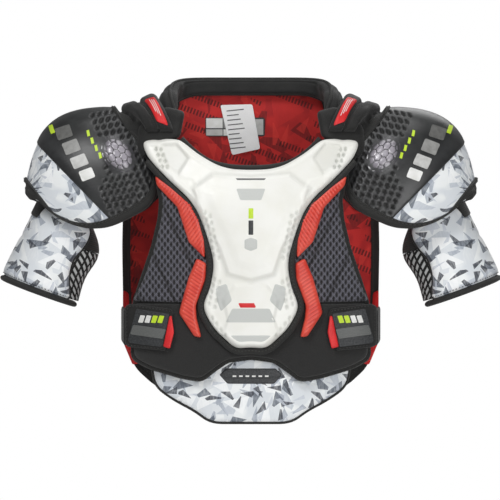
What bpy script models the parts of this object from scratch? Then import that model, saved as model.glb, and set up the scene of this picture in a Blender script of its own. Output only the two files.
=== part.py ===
"""Hockey shoulder pads, size senior medium, as separate panels, plates, cups and straps.

Metres, +Z up, and the chest faces -Y. Left and right in names are as seen from the front, so left
is at -X, on the wearer's right side. The origin is the middle of the neck, at the level where the
yokes rest on the shoulders. Panels are flat patterns, points of (x, z) in millimetres for the
size named here, bent round the torso and stacked in layers.
"""
import math

import bpy
from mathutils import Vector
from mathutils.geometry import delaunay_2d_cdt

# Size: everything across the wearer grows with the first, everything down with the second
CHEST_HALF_WIDTH = 0.148
CHEST_LENGTH = 0.300
WIDER = CHEST_HALF_WIDTH / 0.148
LONGER = CHEST_LENGTH / 0.300

# Torso
TORSO_HALF_WIDTH = 0.185 * WIDER
FRONT_DEPTH = 0.115
BACK_DEPTH = 0.112
TORSO_SQUARENESS = 2.3
NECK_FRONT_DEPTH = FRONT_DEPTH * 68 / 115
NECK_BACK_DEPTH = BACK_DEPTH * 80 / 112
FULL_DEPTH_Z = -0.110 * LONGER
NECK_Z = 0.050 * LONGER

# Layers, from the wearer outwards
LAYER_GAP = 0.0015
LINER_THICK = 0.005
MESH_THICK = 0.004
BELLY_THICK = 0.003
PLATE_THICK = 0.010
RIB_THICK = 0.007
INSET_THICK = 0.001
BACK_PANEL_THICK = 0.008
BACK_PAD_THICK = 0.010
SPINE_THICK = 0.007
BINDING_WIDTH = 0.007
BINDING_THICK = 0.005
SEAM_GAP = 0.001
SKIN_GAP = 0.0005
TAG_STANDOFF = 0.003
PANEL_GRID = 0.022
TRIM_GRID = 0.030

# Shoulder yokes
YOKE_THICK = 0.013
YOKE_TOP_Z = 0.040 + YOKE_THICK
YOKE_SLOPE = 0.38
YOKE_INNER_X = 0.114 * WIDER
YOKE_OUTER_X = 0.160 * WIDER
YOKE_WAIST = 0.019 * WIDER
YOKE_OUTER_TUCK = 0.033 * WIDER
YOKE_FRONT_Z = 0.006
YOKE_BACK_Z = -0.006
LOBE_GAP = 0.003 * WIDER * (YOKE_THICK / 0.013) ** 2

# Collar
COLLAR_HALF_WIDTH = 0.092 * WIDER
COLLAR_HALF_DEPTH = NECK_BACK_DEPTH * 0.65
COLLAR_CENTRE_Y = 0.010
COLLAR_THICK = 0.012
COLLAR_FLARE = 0.006
COLLAR_TOP_Z = 0.076 * LONGER
COLLAR_DROP = 0.058
COLLAR_HEIGHT = 0.032
COLLAR_NARROWING = 0.024
COLLAR_SWEEP = math.radians(125)

# Shoulder cups
CUP_LENGTH = 0.150
CUP_HALF_DEPTH = 0.086
CUP_FRONT_DEPTH = FRONT_DEPTH - 0.029
CUP_RISE = 0.037
CUP_SKIRT = 0.122 * LONGER
CUP_SKEW = 0.30
CUP_LIP = 0.010
CUP_WALL = 0.008
CUP_TILT = math.radians(39)
CUP_START_X = YOKE_OUTER_X + 0.007
CUP_START_Z = 0.034
CUP_EDGE_U = 0.01
CUP_EDGE_V = 0.02
BOSS_LENGTH = 0.046
BOSS_WIDTH = 0.030
BOSS_THICK = 0.003

# Bicep guards
SLEEVE_LENGTH = 0.101
SLEEVE_TOP_RADIUS = 0.034
SLEEVE_HEM_RADIUS = 0.045
SLEEVE_WALL = 0.009
SLEEVE_TILT = math.radians(20)
SLEEVE_TOP_X = CUP_START_X + 0.062 * CUP_LENGTH / 0.150
SLEEVE_TOP_Z = CUP_START_Z - 0.132 * CUP_LENGTH / 0.150
SLEEVE_OPENS = math.radians(14)
SLEEVE_CLOSES = math.radians(250)
ARM_STRAP_WIDTH = 0.044
ARM_STRAP_THICK = 0.002
HANGER_WIDTH = 0.020
HANGER_LENGTH = 0.012

# Straps, tabs and the belly extension
TAB_LENGTH = 0.060
TAB_WIDTH = 0.050
TAB_OUTER_X = 0.157 * WIDER
TAB_MIDDLE_Z = -0.239 * LONGER
TAB_THICK = 0.006
BAR_LENGTH = 0.040
BAR_WIDTH = 0.016
PULL_LENGTH = 0.007
SIDE_STRAP_WIDTH = 0.044
SIDE_STRAP_THICK = 0.003
SIDE_STRAP_FRONT_Y = -0.59 * FRONT_DEPTH
SIDE_STRAP_BACK_Y = 0.42 * BACK_DEPTH
SIDE_STRAP_STANDOFF = 0.002
SIDE_STRAP_SPLAY = 0.006
EXTENSION_THICK = 0.008
EXTENSION_GAP = 0.006
EXTENSION_TUCK = 0.036

# Joint places that the parts turn on
CHEST_HINGE_Z = 0.002
LEFT, RIGHT = -1, 1
FRONT, BACK = -1, 1
SIDE_NAMES = {LEFT: "left", RIGHT: "right"}

COLOURS = {
    "black_fabric": ((0.012, 0.012, 0.013), 0.85),
    "satin_black": ((0.022, 0.023, 0.024), 0.42),
    "white_shell": ((0.78, 0.78, 0.74), 0.45),
    "red_liner": ((0.30, 0.01, 0.012), 0.80),
    "coral_rib": ((0.72, 0.06, 0.035), 0.55),
    "grey_mesh": ((0.085, 0.085, 0.105), 0.80),
    "loop_pile": ((0.008, 0.008, 0.008), 0.95),
    "binding": ((0.020, 0.020, 0.019), 0.75),
    "shard_print": ((0.62, 0.66, 0.69), 0.70),
    "pale_inset": ((0.50, 0.51, 0.52), 0.60),
    "grey_bar": ((0.11, 0.12, 0.12), 0.40),
    "white_tag": ((0.80, 0.80, 0.79), 0.60),
}


def clear_scene():
    for old in list(bpy.data.objects):
        bpy.data.objects.remove(old, do_unlink=True)


def make_materials():
    made = {}
    for name, (colour, roughness) in COLOURS.items():
        material = bpy.data.materials.new(name)
        material.use_nodes = True
        shader = material.node_tree.nodes["Principled BSDF"]
        shader.inputs["Base Color"].default_value = (*colour, 1.0)
        shader.inputs["Roughness"].default_value = roughness
        made[name] = material
    return made


clear_scene()
MATERIALS = make_materials()


# ---- Patterns -------------------------------------------------------------------------------


def graded(points):
    """Pattern points in millimetres, brought to this size."""
    return [(x / 1000 * WIDER, z / 1000 * LONGER) for x, z in points]


def mirrored(half):
    """The whole outline, from the half at +X that runs from the top middle to the bottom middle."""
    return half + [(-x, z) for x, z in reversed(half) if x > 0]


def flipped(points, side):
    return [(side * x, z) for x, z in points]


def rounded(points, radius, steps=3):
    """A closed outline with its corners rounded by curves that start this far from each corner."""
    smooth = []
    for i, point in enumerate(points):
        corner = Vector(point)
        before = Vector(points[i - 1]) - corner
        after = Vector(points[(i + 1) % len(points)]) - corner
        start = corner + before.normalized() * min(radius, before.length / 2.2)
        end = corner + after.normalized() * min(radius, after.length / 2.2)
        for step in range(steps + 1):
            part = step / steps
            smooth.append(start.lerp(corner, part).lerp(corner.lerp(end, part), part))
    return smooth


def divided(points, longest, closed=True):
    """The same line with points added, so that no piece of it is longer than this."""
    line = []
    for i in range(len(points) if closed else len(points) - 1):
        here, after = Vector(points[i]), Vector(points[(i + 1) % len(points)])
        pieces = max(1, math.ceil((after - here).length / longest))
        line += [here.lerp(after, step / pieces) for step in range(pieces)]
    return line if closed else line + [Vector(points[-1])]


def rectangle(x0, x1, z0, z1):
    return [(x0, z0), (x1, z0), (x1, z1), (x0, z1)]


def turns_left(points):
    area = sum(
        Vector(points[i - 1]).cross(Vector(points[i])) for i in range(len(points))
    )
    return area > 0


def spread(points, distance, closed=True):
    """The line moved sideways, to its right as it runs, with mitred corners."""
    moved = []
    last = len(points) - 1
    for i, point in enumerate(points):
        before = Vector(points[i - 1]) if closed or i > 0 else None
        after = Vector(points[(i + 1) % len(points)]) if closed or i < last else None
        here = Vector(point)
        runs = [
            run.normalized()
            for run in (
                here - before if before is not None else None,
                after - here if after is not None else None,
            )
            if run is not None
        ]
        normals = [Vector((run.y, -run.x)) for run in runs]
        normal = sum(normals, Vector((0, 0))).normalized()
        reach = distance / max(normal.dot(normals[0]), 0.6)
        moved.append(here + normal * reach)
    return moved


# ---- Surfaces: each takes (u, v, height above the surface) and gives a point ----------------


def torso_depth(side, z):
    """Half the torso's depth at this height: full at the chest, less towards the neck."""
    full = FRONT_DEPTH if side == FRONT else BACK_DEPTH
    neck = NECK_FRONT_DEPTH if side == FRONT else NECK_BACK_DEPTH
    rise = min(max((z - FULL_DEPTH_Z) / (NECK_Z - FULL_DEPTH_Z), 0.0), 1.0)
    ease = rise * rise * (3 - 2 * rise)
    return full + (neck - full) * ease


def torso(side):
    def place(x, z, height):
        across = min(abs(x) / (TORSO_HALF_WIDTH + height), 0.995)
        bulge = (1 - across**TORSO_SQUARENESS) ** (1 / TORSO_SQUARENESS)
        return Vector((x, side * (torso_depth(side, z) + height) * bulge, z))

    return place


def flank(side):
    """The side of the waist, where the strap is pulled straight: u runs to the back, v is z."""

    def place(y, z, height):
        part = (y - SIDE_STRAP_FRONT_Y) / (SIDE_STRAP_BACK_Y - SIDE_STRAP_FRONT_Y)
        x = TAB_OUTER_X + SIDE_STRAP_STANDOFF + SIDE_STRAP_SPLAY * part
        return Vector((side * (x + height), y, z))

    return place


def raised(base):
    """A surface without a height of its own, given one along its normal."""
    step = 1e-4

    def place(u, v, height):
        here = base(u, v)
        along = base(u + step, v) - base(u - step, v)
        across = base(u, v + step) - base(u, v - step)
        return here + along.cross(across).normalized() * height

    return place


def yoke(side):
    """Over the shoulder: u runs from the neck to the arm, v from -1 in front to 1 behind."""

    def base(u, v):
        v_in = min(max(v, -1.0), 1.0)
        inner = YOKE_INNER_X - YOKE_WAIST * v_in * v_in
        outer = YOKE_OUTER_X - YOKE_OUTER_TUCK * abs(v_in) ** 1.5
        x = inner + (outer - inner) * u
        end_z = YOKE_FRONT_Z if v < 0 else YOKE_BACK_Z
        end = torso(FRONT if v < 0 else BACK)(x, end_z, LINER_THICK)
        top = YOKE_TOP_Z - YOKE_SLOPE * max(x - YOKE_INNER_X, -YOKE_WAIST)
        angle = v * math.pi / 2
        y = end.y * abs(math.sin(angle)) ** 0.9
        z = end_z + (top - YOKE_THICK - end_z) * max(math.cos(angle), 0.0) ** 0.75
        return Vector((side * x, y, z))

    return base


def collar(u, v, height):
    """Round the neck: u runs from -1 to 1 by way of the nape, v from the foot to the top edge."""
    angle = u * COLLAR_SWEEP
    reach = COLLAR_FLARE * v + height
    x = (COLLAR_HALF_WIDTH + reach) * math.copysign(abs(math.sin(angle)) ** 0.7, angle)
    along = math.cos(angle)
    y = (COLLAR_HALF_DEPTH + reach) * math.copysign(abs(along) ** 0.7, along)
    tall = COLLAR_HEIGHT - COLLAR_NARROWING * u * u
    top = COLLAR_TOP_Z - COLLAR_DROP * u**4
    return Vector((x, COLLAR_CENTRE_Y + y, top - tall * (1 - v)))


def cup(side):
    """A dome over the shoulder: u from the yoke to the arm, v from the front hem to the back hem."""

    def base(u, v):
        ends = min(abs(2 * u - 1), 1.0)
        deeper = 1 + CUP_SKEW * (0.5 - min(max(u, 0.0), 1.0))
        skirt = -CUP_LIP - CUP_SKIRT * deeper * (1 - ends**3) ** 0.5
        crown = CUP_RISE * math.sin(math.pi * min(max(u, 0.0), 1.0))
        angle = (v - 0.5) * math.pi
        up = max(math.cos(angle), 0.0) ** 0.8
        out = skirt + (crown - skirt) * up
        half = (CUP_FRONT_DEPTH if angle < 0 else CUP_HALF_DEPTH) * (1 - 0.34 * ends**2.5)
        y = half * math.copysign(abs(math.sin(angle)) ** 0.8, angle)
        along = u * CUP_LENGTH
        x = CUP_START_X + math.cos(CUP_TILT) * along + math.sin(CUP_TILT) * out
        z = CUP_START_Z - math.sin(CUP_TILT) * along + math.cos(CUP_TILT) * out
        return Vector((side * x, y, z))

    return base


def sleeve(side):
    """Round the upper arm: u is the angle from the body side by way of the front, v runs down."""

    def place(angle, v, height):
        radius = SLEEVE_TOP_RADIUS + (SLEEVE_HEM_RADIUS - SLEEVE_TOP_RADIUS) * v + height
        inward = radius * math.cos(angle)
        down = v * SLEEVE_LENGTH
        x = SLEEVE_TOP_X + math.sin(SLEEVE_TILT) * down - math.cos(SLEEVE_TILT) * inward
        z = SLEEVE_TOP_Z - math.cos(SLEEVE_TILT) * down - math.sin(SLEEVE_TILT) * inward
        return Vector((side * x, -radius * math.sin(angle), z))

    return place


# ---- Bodies and objects ---------------------------------------------------------------------


def side_of_tab(side):
    height = LINER_THICK + LAYER_GAP + BELLY_THICK
    return torso(FRONT)(side * TAB_OUTER_X, TAB_MIDDLE_Z, height)


def joint_places():
    places = {"back": Vector((0, 0, 0))}
    places["chest"] = Vector((0, -NECK_FRONT_DEPTH, CHEST_HINGE_Z))
    places["extension"] = Vector((0, -FRONT_DEPTH, -CHEST_LENGTH))
    for side, name in SIDE_NAMES.items():
        places["tab_" + name] = side_of_tab(side)
        places["cup_" + name] = Vector((side * CUP_START_X, 0, CUP_START_Z))
        hanger = sleeve(side)(math.pi, 0, SLEEVE_WALL)
        places["bicep_" + name] = Vector((hanger.x, 0, hanger.z))
    return places


def make_empties(places):
    empties = {}
    for name, place in places.items():
        empty = bpy.data.objects.new(name + "_joint", None)
        empty.location = place
        bpy.context.collection.objects.link(empty)
        empties[name] = empty
    return empties


PLACES = joint_places()
EMPTIES = make_empties(PLACES)


def add_part(name, body, material, corners, faces):
    """One closed solid, whose origin is its body's joint. Faces are turned outwards."""
    mesh = bpy.data.meshes.new(name)
    mesh.from_pydata([corner - PLACES[body] for corner in corners], [], faces)
    volume = sum(
        corners[face[0]].dot(corners[face[i]].cross(corners[face[i + 1]]))
        for face in faces
        for i in range(1, len(face) - 1)
    )
    if volume < 0:
        mesh.flip_normals()
    mesh.materials.append(MATERIALS[material])
    mesh.shade_smooth()
    mesh.set_sharp_from_angle(angle=math.radians(40))
    part = bpy.data.objects.new(name, mesh)
    bpy.context.collection.objects.link(part)
    part.parent = EMPTIES[body]
    return part


def filled(outline, grid):
    """(points, triangles) of a flat outline filled over a grid of squares of this size."""
    outline = divided(outline, grid)
    count = len(outline)
    low = [min(point[axis] for point in outline) for axis in (0, 1)]
    high = [max(point[axis] for point in outline) for axis in (0, 1)]
    inside = []
    for column in range(math.ceil(low[0] / grid), math.floor(high[0] / grid) + 1):
        for row in range(math.ceil(low[1] / grid), math.floor(high[1] / grid) + 1):
            spot = Vector((column * grid, row * grid))
            nearest = min((spot - point).length for point in outline)
            if nearest > grid * 0.4:
                inside.append(spot)
    border = [(i, (i + 1) % count) for i in range(count)]
    points, _, faces, *_ = delaunay_2d_cdt(
        outline + inside, border, [list(range(count))], 1, 1e-6
    )
    return points, faces


def add_pad(name, body, material, surface, outline, low, high, grid=PANEL_GRID):
    """A panel cut to an outline on a surface, from one height above it to another."""
    points, faces = filled(outline, grid)
    count = len(points)
    corners = [surface(*point, low) for point in points]
    corners += [surface(*point, high) for point in points]
    sides = {}
    for face in faces:
        for i in range(len(face)):
            sides[(face[i - 1], face[i])] = True
    rim = [(a, b) for a, b in sides if (b, a) not in sides]
    solid = [tuple(reversed(face)) for face in faces]
    solid += [tuple(index + count for index in face) for face in faces]
    solid += [(a, b, b + count, a + count) for a, b in rim]
    return add_part(name, body, material, corners, solid)


def add_band(name, body, material, surface, inner_line, outer_line, low, high, closed=True):
    """A binding or strap between two lines of as many points on a surface."""
    corners = []
    for inner, outer in zip(inner_line, outer_line):
        corners.append(surface(*inner, low))
        corners.append(surface(*outer, low))
        corners.append(surface(*outer, high))
        corners.append(surface(*inner, high))
    count = len(inner_line)
    faces = []
    for i in range(count if closed else count - 1):
        here, after = 4 * i, 4 * ((i + 1) % count)
        for a, b in ((0, 1), (1, 2), (2, 3), (3, 0)):
            faces.append((here + a, here + b, after + b, after + a))
    if not closed:
        end = 4 * (count - 1)
        faces += [(3, 2, 1, 0), (end, end + 1, end + 2, end + 3)]
    return add_part(name, body, material, corners, faces)


def add_shell(name, body, material, surface, columns, rows, low, high):
    """A wall over a grid of u and v values, from one height above the surface to another."""
    across = len(rows)
    count = len(columns) * across
    corners = [surface(u, v, low) for u in columns for v in rows]
    corners += [surface(u, v, high) for u in columns for v in rows]
    faces = []
    rim = []
    for i in range(len(columns) - 1):
        for j in range(across - 1):
            a = i * across + j
            face = (a, a + across, a + across + 1, a + 1)
            faces.append(face)
            faces.append(tuple(index + count for index in reversed(face)))
    last = count - across
    for i in range(len(columns) - 1):
        rim.append((i * across, (i + 1) * across))
        rim.append(((i + 2) * across - 1, (i + 1) * across - 1))
    for j in range(across - 1):
        rim.append((last + j, last + j + 1))
        rim.append((j + 1, j))
    faces += [(b, a, a + count, b + count) for a, b in rim]
    return add_part(name, body, material, corners, faces)


def steps(first, last, count):
    return [first + (last - first) * i / count for i in range(count + 1)]


def eased(count):
    """Values from 0 to 1, closer together at both ends."""
    return [(1 - math.cos(math.pi * i / count)) / 2 for i in range(count + 1)]


def bordered(name, body, surface, outline, gap, low, high):
    """A binding all round the outline, beside its edge."""
    away = 1 if turns_left(outline) else -1
    outline = divided(outline, PANEL_GRID)
    inner = spread(outline, away * gap)
    outer = spread(outline, away * (gap + BINDING_WIDTH))
    add_band(name, body, "binding", surface, inner, outer, low, high)


# ---- Chest ----------------------------------------------------------------------------------

NECKLINE = [(0, -41), (26, -40), (52, -34), (74, -18), (87, -4)]
CHEST_SIDE = [
    (118, -3), (131, -9), (134, -24), (122, -46), (117, -60), (116, -78), (116, -104),
    (126, -140), (142, -185), (148, -209),
]
BELLY_HEM = [(145, -276), (125, -286), (86, -297), (62, -301), (47, -289), (30, -277), (0, -273)]
BELLY_TOP_Z = -207
PLATE = [
    (0, -49), (24, -48), (51, -42), (76, -24), (90, -11), (113, -10), (125, -14), (127, -23),
    (119, -41), (104, -57), (80, -76), (60, -97), (50, -124), (44, -150), (44, -165),
    (50, -188), (58, -206), (58, -217), (46, -239), (19, -264), (0, -262),
]
MESH_INNER = [(51, -207), (48, -190), (44, -160), (52, -118), (62, -96), (84, -76), (110, -64)]
RIB_UPPER = [
    (118, -57), (113, -72), (92, -92), (77, -131), (59, -151), (60, -130), (69, -101), (88, -82),
]
RIB_LOWER = [
    (62, -156), (56, -163), (57, -180), (70, -203), (70, -216), (61, -238), (68, -238),
    (88, -212), (86, -200), (76, -174),
]


def build_chest():
    front = torso(FRONT)
    second = LINER_THICK + LAYER_GAP
    third = second + MESH_THICK + LAYER_GAP
    liner = rounded(mirrored(graded(NECKLINE + CHEST_SIDE + BELLY_HEM)), 0.010)
    add_pad("chest_liner", "chest", "black_fabric", front, liner, 0, LINER_THICK)
    plate = rounded(mirrored(graded(PLATE)), 0.010)
    add_pad("chest_plate", "chest", "white_shell", front, plate, third, third + PLATE_THICK)
    bordered("plate_binding", "chest", front, plate, SEAM_GAP, third, third + BINDING_THICK)
    top_z = BELLY_TOP_Z - 2
    belly = rounded(mirrored(graded([(0, top_z), (CHEST_SIDE[-1][0] - 1, top_z)] + BELLY_HEM)), 0.008)
    add_pad("belly_panel", "chest", "loop_pile", front, belly, second, second + BELLY_THICK)
    edge = graded(CHEST_SIDE[4:] + BELLY_HEM)
    edge = divided(mirrored(edge), PANEL_GRID, closed=False)
    inner = spread(edge, -2 * SEAM_GAP, closed=False)
    outer = spread(edge, -2 * SEAM_GAP - BINDING_WIDTH, closed=False)
    add_band(
        "chest_binding", "chest", "binding", front, inner, outer, 0, BINDING_THICK, closed=False
    )
    for side, name in SIDE_NAMES.items():
        mesh = graded(CHEST_SIDE[4:-1] + [(147, BELLY_TOP_Z + 1)] + MESH_INNER)
        add_pad(
            "mesh_panel_" + name, "chest", "grey_mesh", front,
            rounded(flipped(mesh, side), 0.006), second, second + MESH_THICK,
        )
        for label, pattern in (("upper", RIB_UPPER), ("lower", RIB_LOWER)):
            add_pad(
                f"rib_{label}_{name}", "chest", "coral_rib", front,
                rounded(flipped(graded(pattern), side), 0.006), third, third + RIB_THICK,
            )
    top = third + PLATE_THICK + SKIN_GAP
    for label, pattern in (
        ("vent_upper", [(-18, -66), (18, -66), (13, -79), (-13, -79)]),
        ("vent_lower", [(-31, -230), (31, -230), (23, -213), (-23, -213)]),
    ):
        add_pad(
            label, "chest", "pale_inset", front, rounded(graded(pattern), 0.002),
            top, top + INSET_THICK,
        )


# ---- Tabs and belly extension ---------------------------------------------------------------

EXTENSION = [(124, -290), (119, -313), (94, -330), (70, -342), (50, -357), (0, -357)]
EXTENSION_LABEL = [(0, -287), (29, -287), (38, -296), (27, -308), (0, -308)]


def build_tabs():
    front = torso(FRONT)
    low = LINER_THICK + LAYER_GAP + BELLY_THICK + LAYER_GAP
    high = low + TAB_THICK
    top, bottom = TAB_MIDDLE_Z + TAB_WIDTH / 2, TAB_MIDDLE_Z - TAB_WIDTH / 2
    inner_x = TAB_OUTER_X - TAB_LENGTH
    middle_x = TAB_OUTER_X - TAB_LENGTH / 2
    for side, name in SIDE_NAMES.items():
        body = "tab_" + name
        tab = rectangle(inner_x, TAB_OUTER_X, bottom, top)
        add_pad(
            "strap_tab_" + name, body, "black_fabric", front,
            rounded(flipped(tab, side), 0.006), low, high,
        )
        bar_low = bottom + BAR_WIDTH / 3
        bar = rectangle(
            middle_x - BAR_LENGTH / 2, middle_x + BAR_LENGTH / 2, bar_low, bar_low + BAR_WIDTH
        )
        add_pad(
            "strap_bar_" + name, body, "grey_bar", front,
            rounded(flipped(bar, side), 0.002), high + SKIN_GAP, high + SKIN_GAP + INSET_THICK,
        )
        end = inner_x - SEAM_GAP
        pull = rectangle(end - PULL_LENGTH, end, bottom + 0.004, top - 0.008)
        add_pad(
            "strap_pull_" + name, body, "coral_rib", front,
            rounded(flipped(pull, side), 0.003), low, high - 0.002,
        )


def build_extension():
    front = torso(FRONT)
    high = -EXTENSION_GAP
    low = high - EXTENSION_THICK
    hem = graded(EXTENSION)
    top_z = -CHEST_LENGTH + EXTENSION_TUCK
    half = [(0, top_z), (hem[0][0], top_z)] + hem
    add_pad(
        "extension_pad", "extension", "shard_print", front,
        rounded(mirrored(half), 0.012), low, high,
    )
    add_pad(
        "extension_label", "extension", "grey_bar", front,
        rounded(mirrored(graded(EXTENSION_LABEL)), 0.002),
        high + SKIN_GAP, high + SKIN_GAP + INSET_THICK,
    )


# ---- Back -----------------------------------------------------------------------------------

BACK_PANEL = [
    (0, 46), (76, 46), (80, 30), (84, -20), (110, -22), (109, -44), (112, -66), (118, -83),
    (129, -101), (160, -117), (164, -140), (163, -206), (158, -250), (148, -290), (117, -318),
    (84, -336), (0, -342),
]
SCAPULA = [(30, -20), (104, -24), (102, -60), (108, -92), (132, -128), (112, -156), (62, -134), (60, -80)]
KIDNEY = [(60, -166), (112, -176), (140, -172), (140, -226), (112, -262), (60, -262)]
WING = [(146, -196), (151, -196), (149, -244), (140, -282), (132, -282), (141, -240)]


def build_back():
    behind = torso(BACK)
    panel = rounded(mirrored(graded(BACK_PANEL)), 0.012)
    add_pad("back_panel", "back", "red_liner", behind, panel, 0, BACK_PANEL_THICK)
    bordered("back_binding", "back", behind, panel, SEAM_GAP, 0, BACK_PANEL_THICK)
    low = BACK_PANEL_THICK + LAYER_GAP
    high = low + BACK_PAD_THICK
    for side, name in SIDE_NAMES.items():
        for label, pattern, material in (
            ("scapula_pad_", SCAPULA, "satin_black"),
            ("kidney_pad_", KIDNEY, "black_fabric"),
        ):
            add_pad(
                label + name, "back", material, behind,
                rounded(flipped(graded(pattern), side), 0.014), low, high,
            )
        add_pad(
            "wing_" + name, "back", "coral_rib", behind,
            rounded(flipped(graded(WING), side), 0.004), low, low + BINDING_THICK,
        )
    build_spine(low)
    build_tag()


def build_spine(low):
    """Three flat plates, one above the other, behind the backbone."""
    near = BACK_DEPTH + low
    for number, (top, bottom) in enumerate(((-116, -160), (-164, -208), (-212, -256)), 1):
        outline = rounded(graded([(-46, bottom), (46, bottom), (52, top), (-52, top)]), 0.010)
        add_pad(
            f"spine_plate_{number}", "back", "satin_black",
            lambda x, z, height: Vector((x, height, z)),
            outline, near, near + SPINE_THICK, grid=1.0,
        )


def build_tag():
    """The sewn tag, which hangs inside the back of the neck."""

    def hung(x, z, height):
        return torso(BACK)(x, z, -height)

    tag = rounded(graded([(-39, 40), (2, 41), (12, -16), (-24, -24)]), 0.003)
    label = rounded(graded([(-58, 24), (18, 24), (18, 0), (-58, 0)]), 0.003)
    add_pad("size_label", "back", "black_fabric", hung, label, SEAM_GAP, SEAM_GAP + INSET_THICK)
    add_pad(
        "care_tag", "back", "white_tag", hung, tag, TAG_STANDOFF, TAG_STANDOFF + INSET_THICK
    )


def build_collar():
    add_shell(
        "collar", "back", "black_fabric", collar, steps(-1, 1, 26), steps(0, 1, 2),
        0, COLLAR_THICK,
    )


def build_yokes():
    for side, name in SIDE_NAMES.items():
        surface = raised(yoke(side))
        sign = side
        middle = 0.52
        gap = LOBE_GAP / (YOKE_OUTER_X - YOKE_INNER_X)
        for label, first, last in (
            ("inner", 0.0, middle - gap / 2),
            ("outer", middle + gap / 2, 1.0),
        ):
            heights = sorted((0, sign * YOKE_THICK))
            add_shell(
                f"yoke_{label}_{name}", "back", "black_fabric", surface,
                steps(first, last, 3), steps(-1, 1, 14), *heights,
            )
        patch = rounded([(0.10, -0.86), (0.36, -0.86), (0.42, -0.46), (0.12, -0.46)], 0.04)
        skin = sorted((sign * (YOKE_THICK + SEAM_GAP), sign * (YOKE_THICK + 2 * SEAM_GAP)))
        add_pad(
            "yoke_patch_" + name, "back", "coral_rib", surface, patch, *skin, grid=0.14
        )


def build_side_straps():
    for side, name in SIDE_NAMES.items():
        low = TAB_MIDDLE_Z - SIDE_STRAP_WIDTH / 2
        add_shell(
            "side_strap_" + name, "back", "black_fabric", flank(side),
            steps(SIDE_STRAP_FRONT_Y, SIDE_STRAP_BACK_Y, 8), [low, low + SIDE_STRAP_WIDTH],
            0, SIDE_STRAP_THICK,
        )


# ---- Shoulder cups and bicep guards ---------------------------------------------------------


def build_cups():
    for side, name in SIDE_NAMES.items():
        surface = raised(cup(side))
        body = "cup_" + name
        sign = side
        add_shell(
            "cup_shell_" + name, body, "satin_black", surface,
            [CUP_EDGE_U + (1 - 2 * CUP_EDGE_U) * part for part in eased(10)],
            steps(CUP_EDGE_V, 1 - CUP_EDGE_V, 14),
            *sorted((0, -sign * CUP_WALL)),
        )
        boss = [
            (
                0.27 + BOSS_LENGTH / CUP_LENGTH / 2 * math.cos(turn),
                0.16 + BOSS_WIDTH / CUP_HALF_DEPTH / 5 * math.sin(turn),
            )
            for turn in steps(0, 2 * math.pi, 16)[:-1]
        ]
        heights = sorted((sign * SEAM_GAP, sign * (SEAM_GAP + BOSS_THICK)))
        add_pad("cup_boss_" + name, body, "satin_black", surface, boss, *heights, grid=0.05)
        build_cup_binding(name, body, surface, sign)


def build_cup_binding(name, body, surface, sign):
    """The binding along the front hem, round the arm side and back along the rear hem."""
    first, last = CUP_EDGE_U, 1 - CUP_EDGE_U
    front, rear = CUP_EDGE_V, 1 - CUP_EDGE_V
    deep_u = BINDING_WIDTH / CUP_LENGTH
    deep_v = BINDING_WIDTH / (2 * CUP_HALF_DEPTH + 2 * CUP_SKIRT)
    along = steps(0.12, last, 8)
    round_arm = steps(front, rear, 12)[1:]
    edge = [(u, front) for u in along]
    edge += [(last, v) for v in round_arm]
    edge += [(u, rear) for u in reversed(along[:-1])]
    inside = [(min(u, last - deep_u), front + deep_v) for u in along]
    inside += [(last - deep_u, min(max(v, front + deep_v), rear - deep_v)) for v in round_arm]
    inside += [(min(u, last - deep_u), rear - deep_v) for u in reversed(along[:-1])]
    heights = sorted((sign * LAYER_GAP, sign * (LAYER_GAP + BINDING_THICK / 2)))
    add_band("cup_binding_" + name, body, "binding", surface, edge, inside, *heights, closed=False)


def build_biceps():
    for side, name in SIDE_NAMES.items():
        surface = sleeve(side)
        body = "bicep_" + name
        add_shell(
            "bicep_pad_" + name, body, "shard_print", surface,
            steps(SLEEVE_OPENS, SLEEVE_CLOSES, 16), steps(0, 1, 4), 0, SLEEVE_WALL,
        )
        strap_top = 0.5 - ARM_STRAP_WIDTH / SLEEVE_LENGTH / 2
        strap_bottom = 0.5 + ARM_STRAP_WIDTH / SLEEVE_LENGTH / 2
        add_shell(
            "bicep_strap_" + name, body, "black_fabric", surface,
            steps(SLEEVE_CLOSES + 0.03, 2 * math.pi + SLEEVE_OPENS - 0.03, 8),
            [strap_top, strap_bottom], ARM_STRAP_THICK, 2 * ARM_STRAP_THICK,
        )
        hem = 1 + SEAM_GAP / SLEEVE_LENGTH
        add_shell(
            "bicep_binding_" + name, body, "binding", surface,
            steps(SLEEVE_OPENS, SLEEVE_CLOSES, 16),
            [hem, hem + BINDING_WIDTH / SLEEVE_LENGTH], SEAM_GAP, SLEEVE_WALL - SEAM_GAP,
        )
        half = HANGER_WIDTH / 2 / SLEEVE_TOP_RADIUS
        add_shell(
            "bicep_hanger_" + name, body, "black_fabric", surface,
            steps(math.pi - half, math.pi + half, 3),
            [-(SEAM_GAP + HANGER_LENGTH) / SLEEVE_LENGTH, -SEAM_GAP / SLEEVE_LENGTH],
            ARM_STRAP_THICK, 2 * ARM_STRAP_THICK,
        )


build_chest()
build_tabs()
build_extension()
build_back()
build_collar()
build_yokes()
build_side_straps()
build_cups()
build_biceps()
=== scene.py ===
import math

import bpy
import numpy as np
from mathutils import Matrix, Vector
from mathutils.geometry import delaunay_2d_cdt


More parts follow.
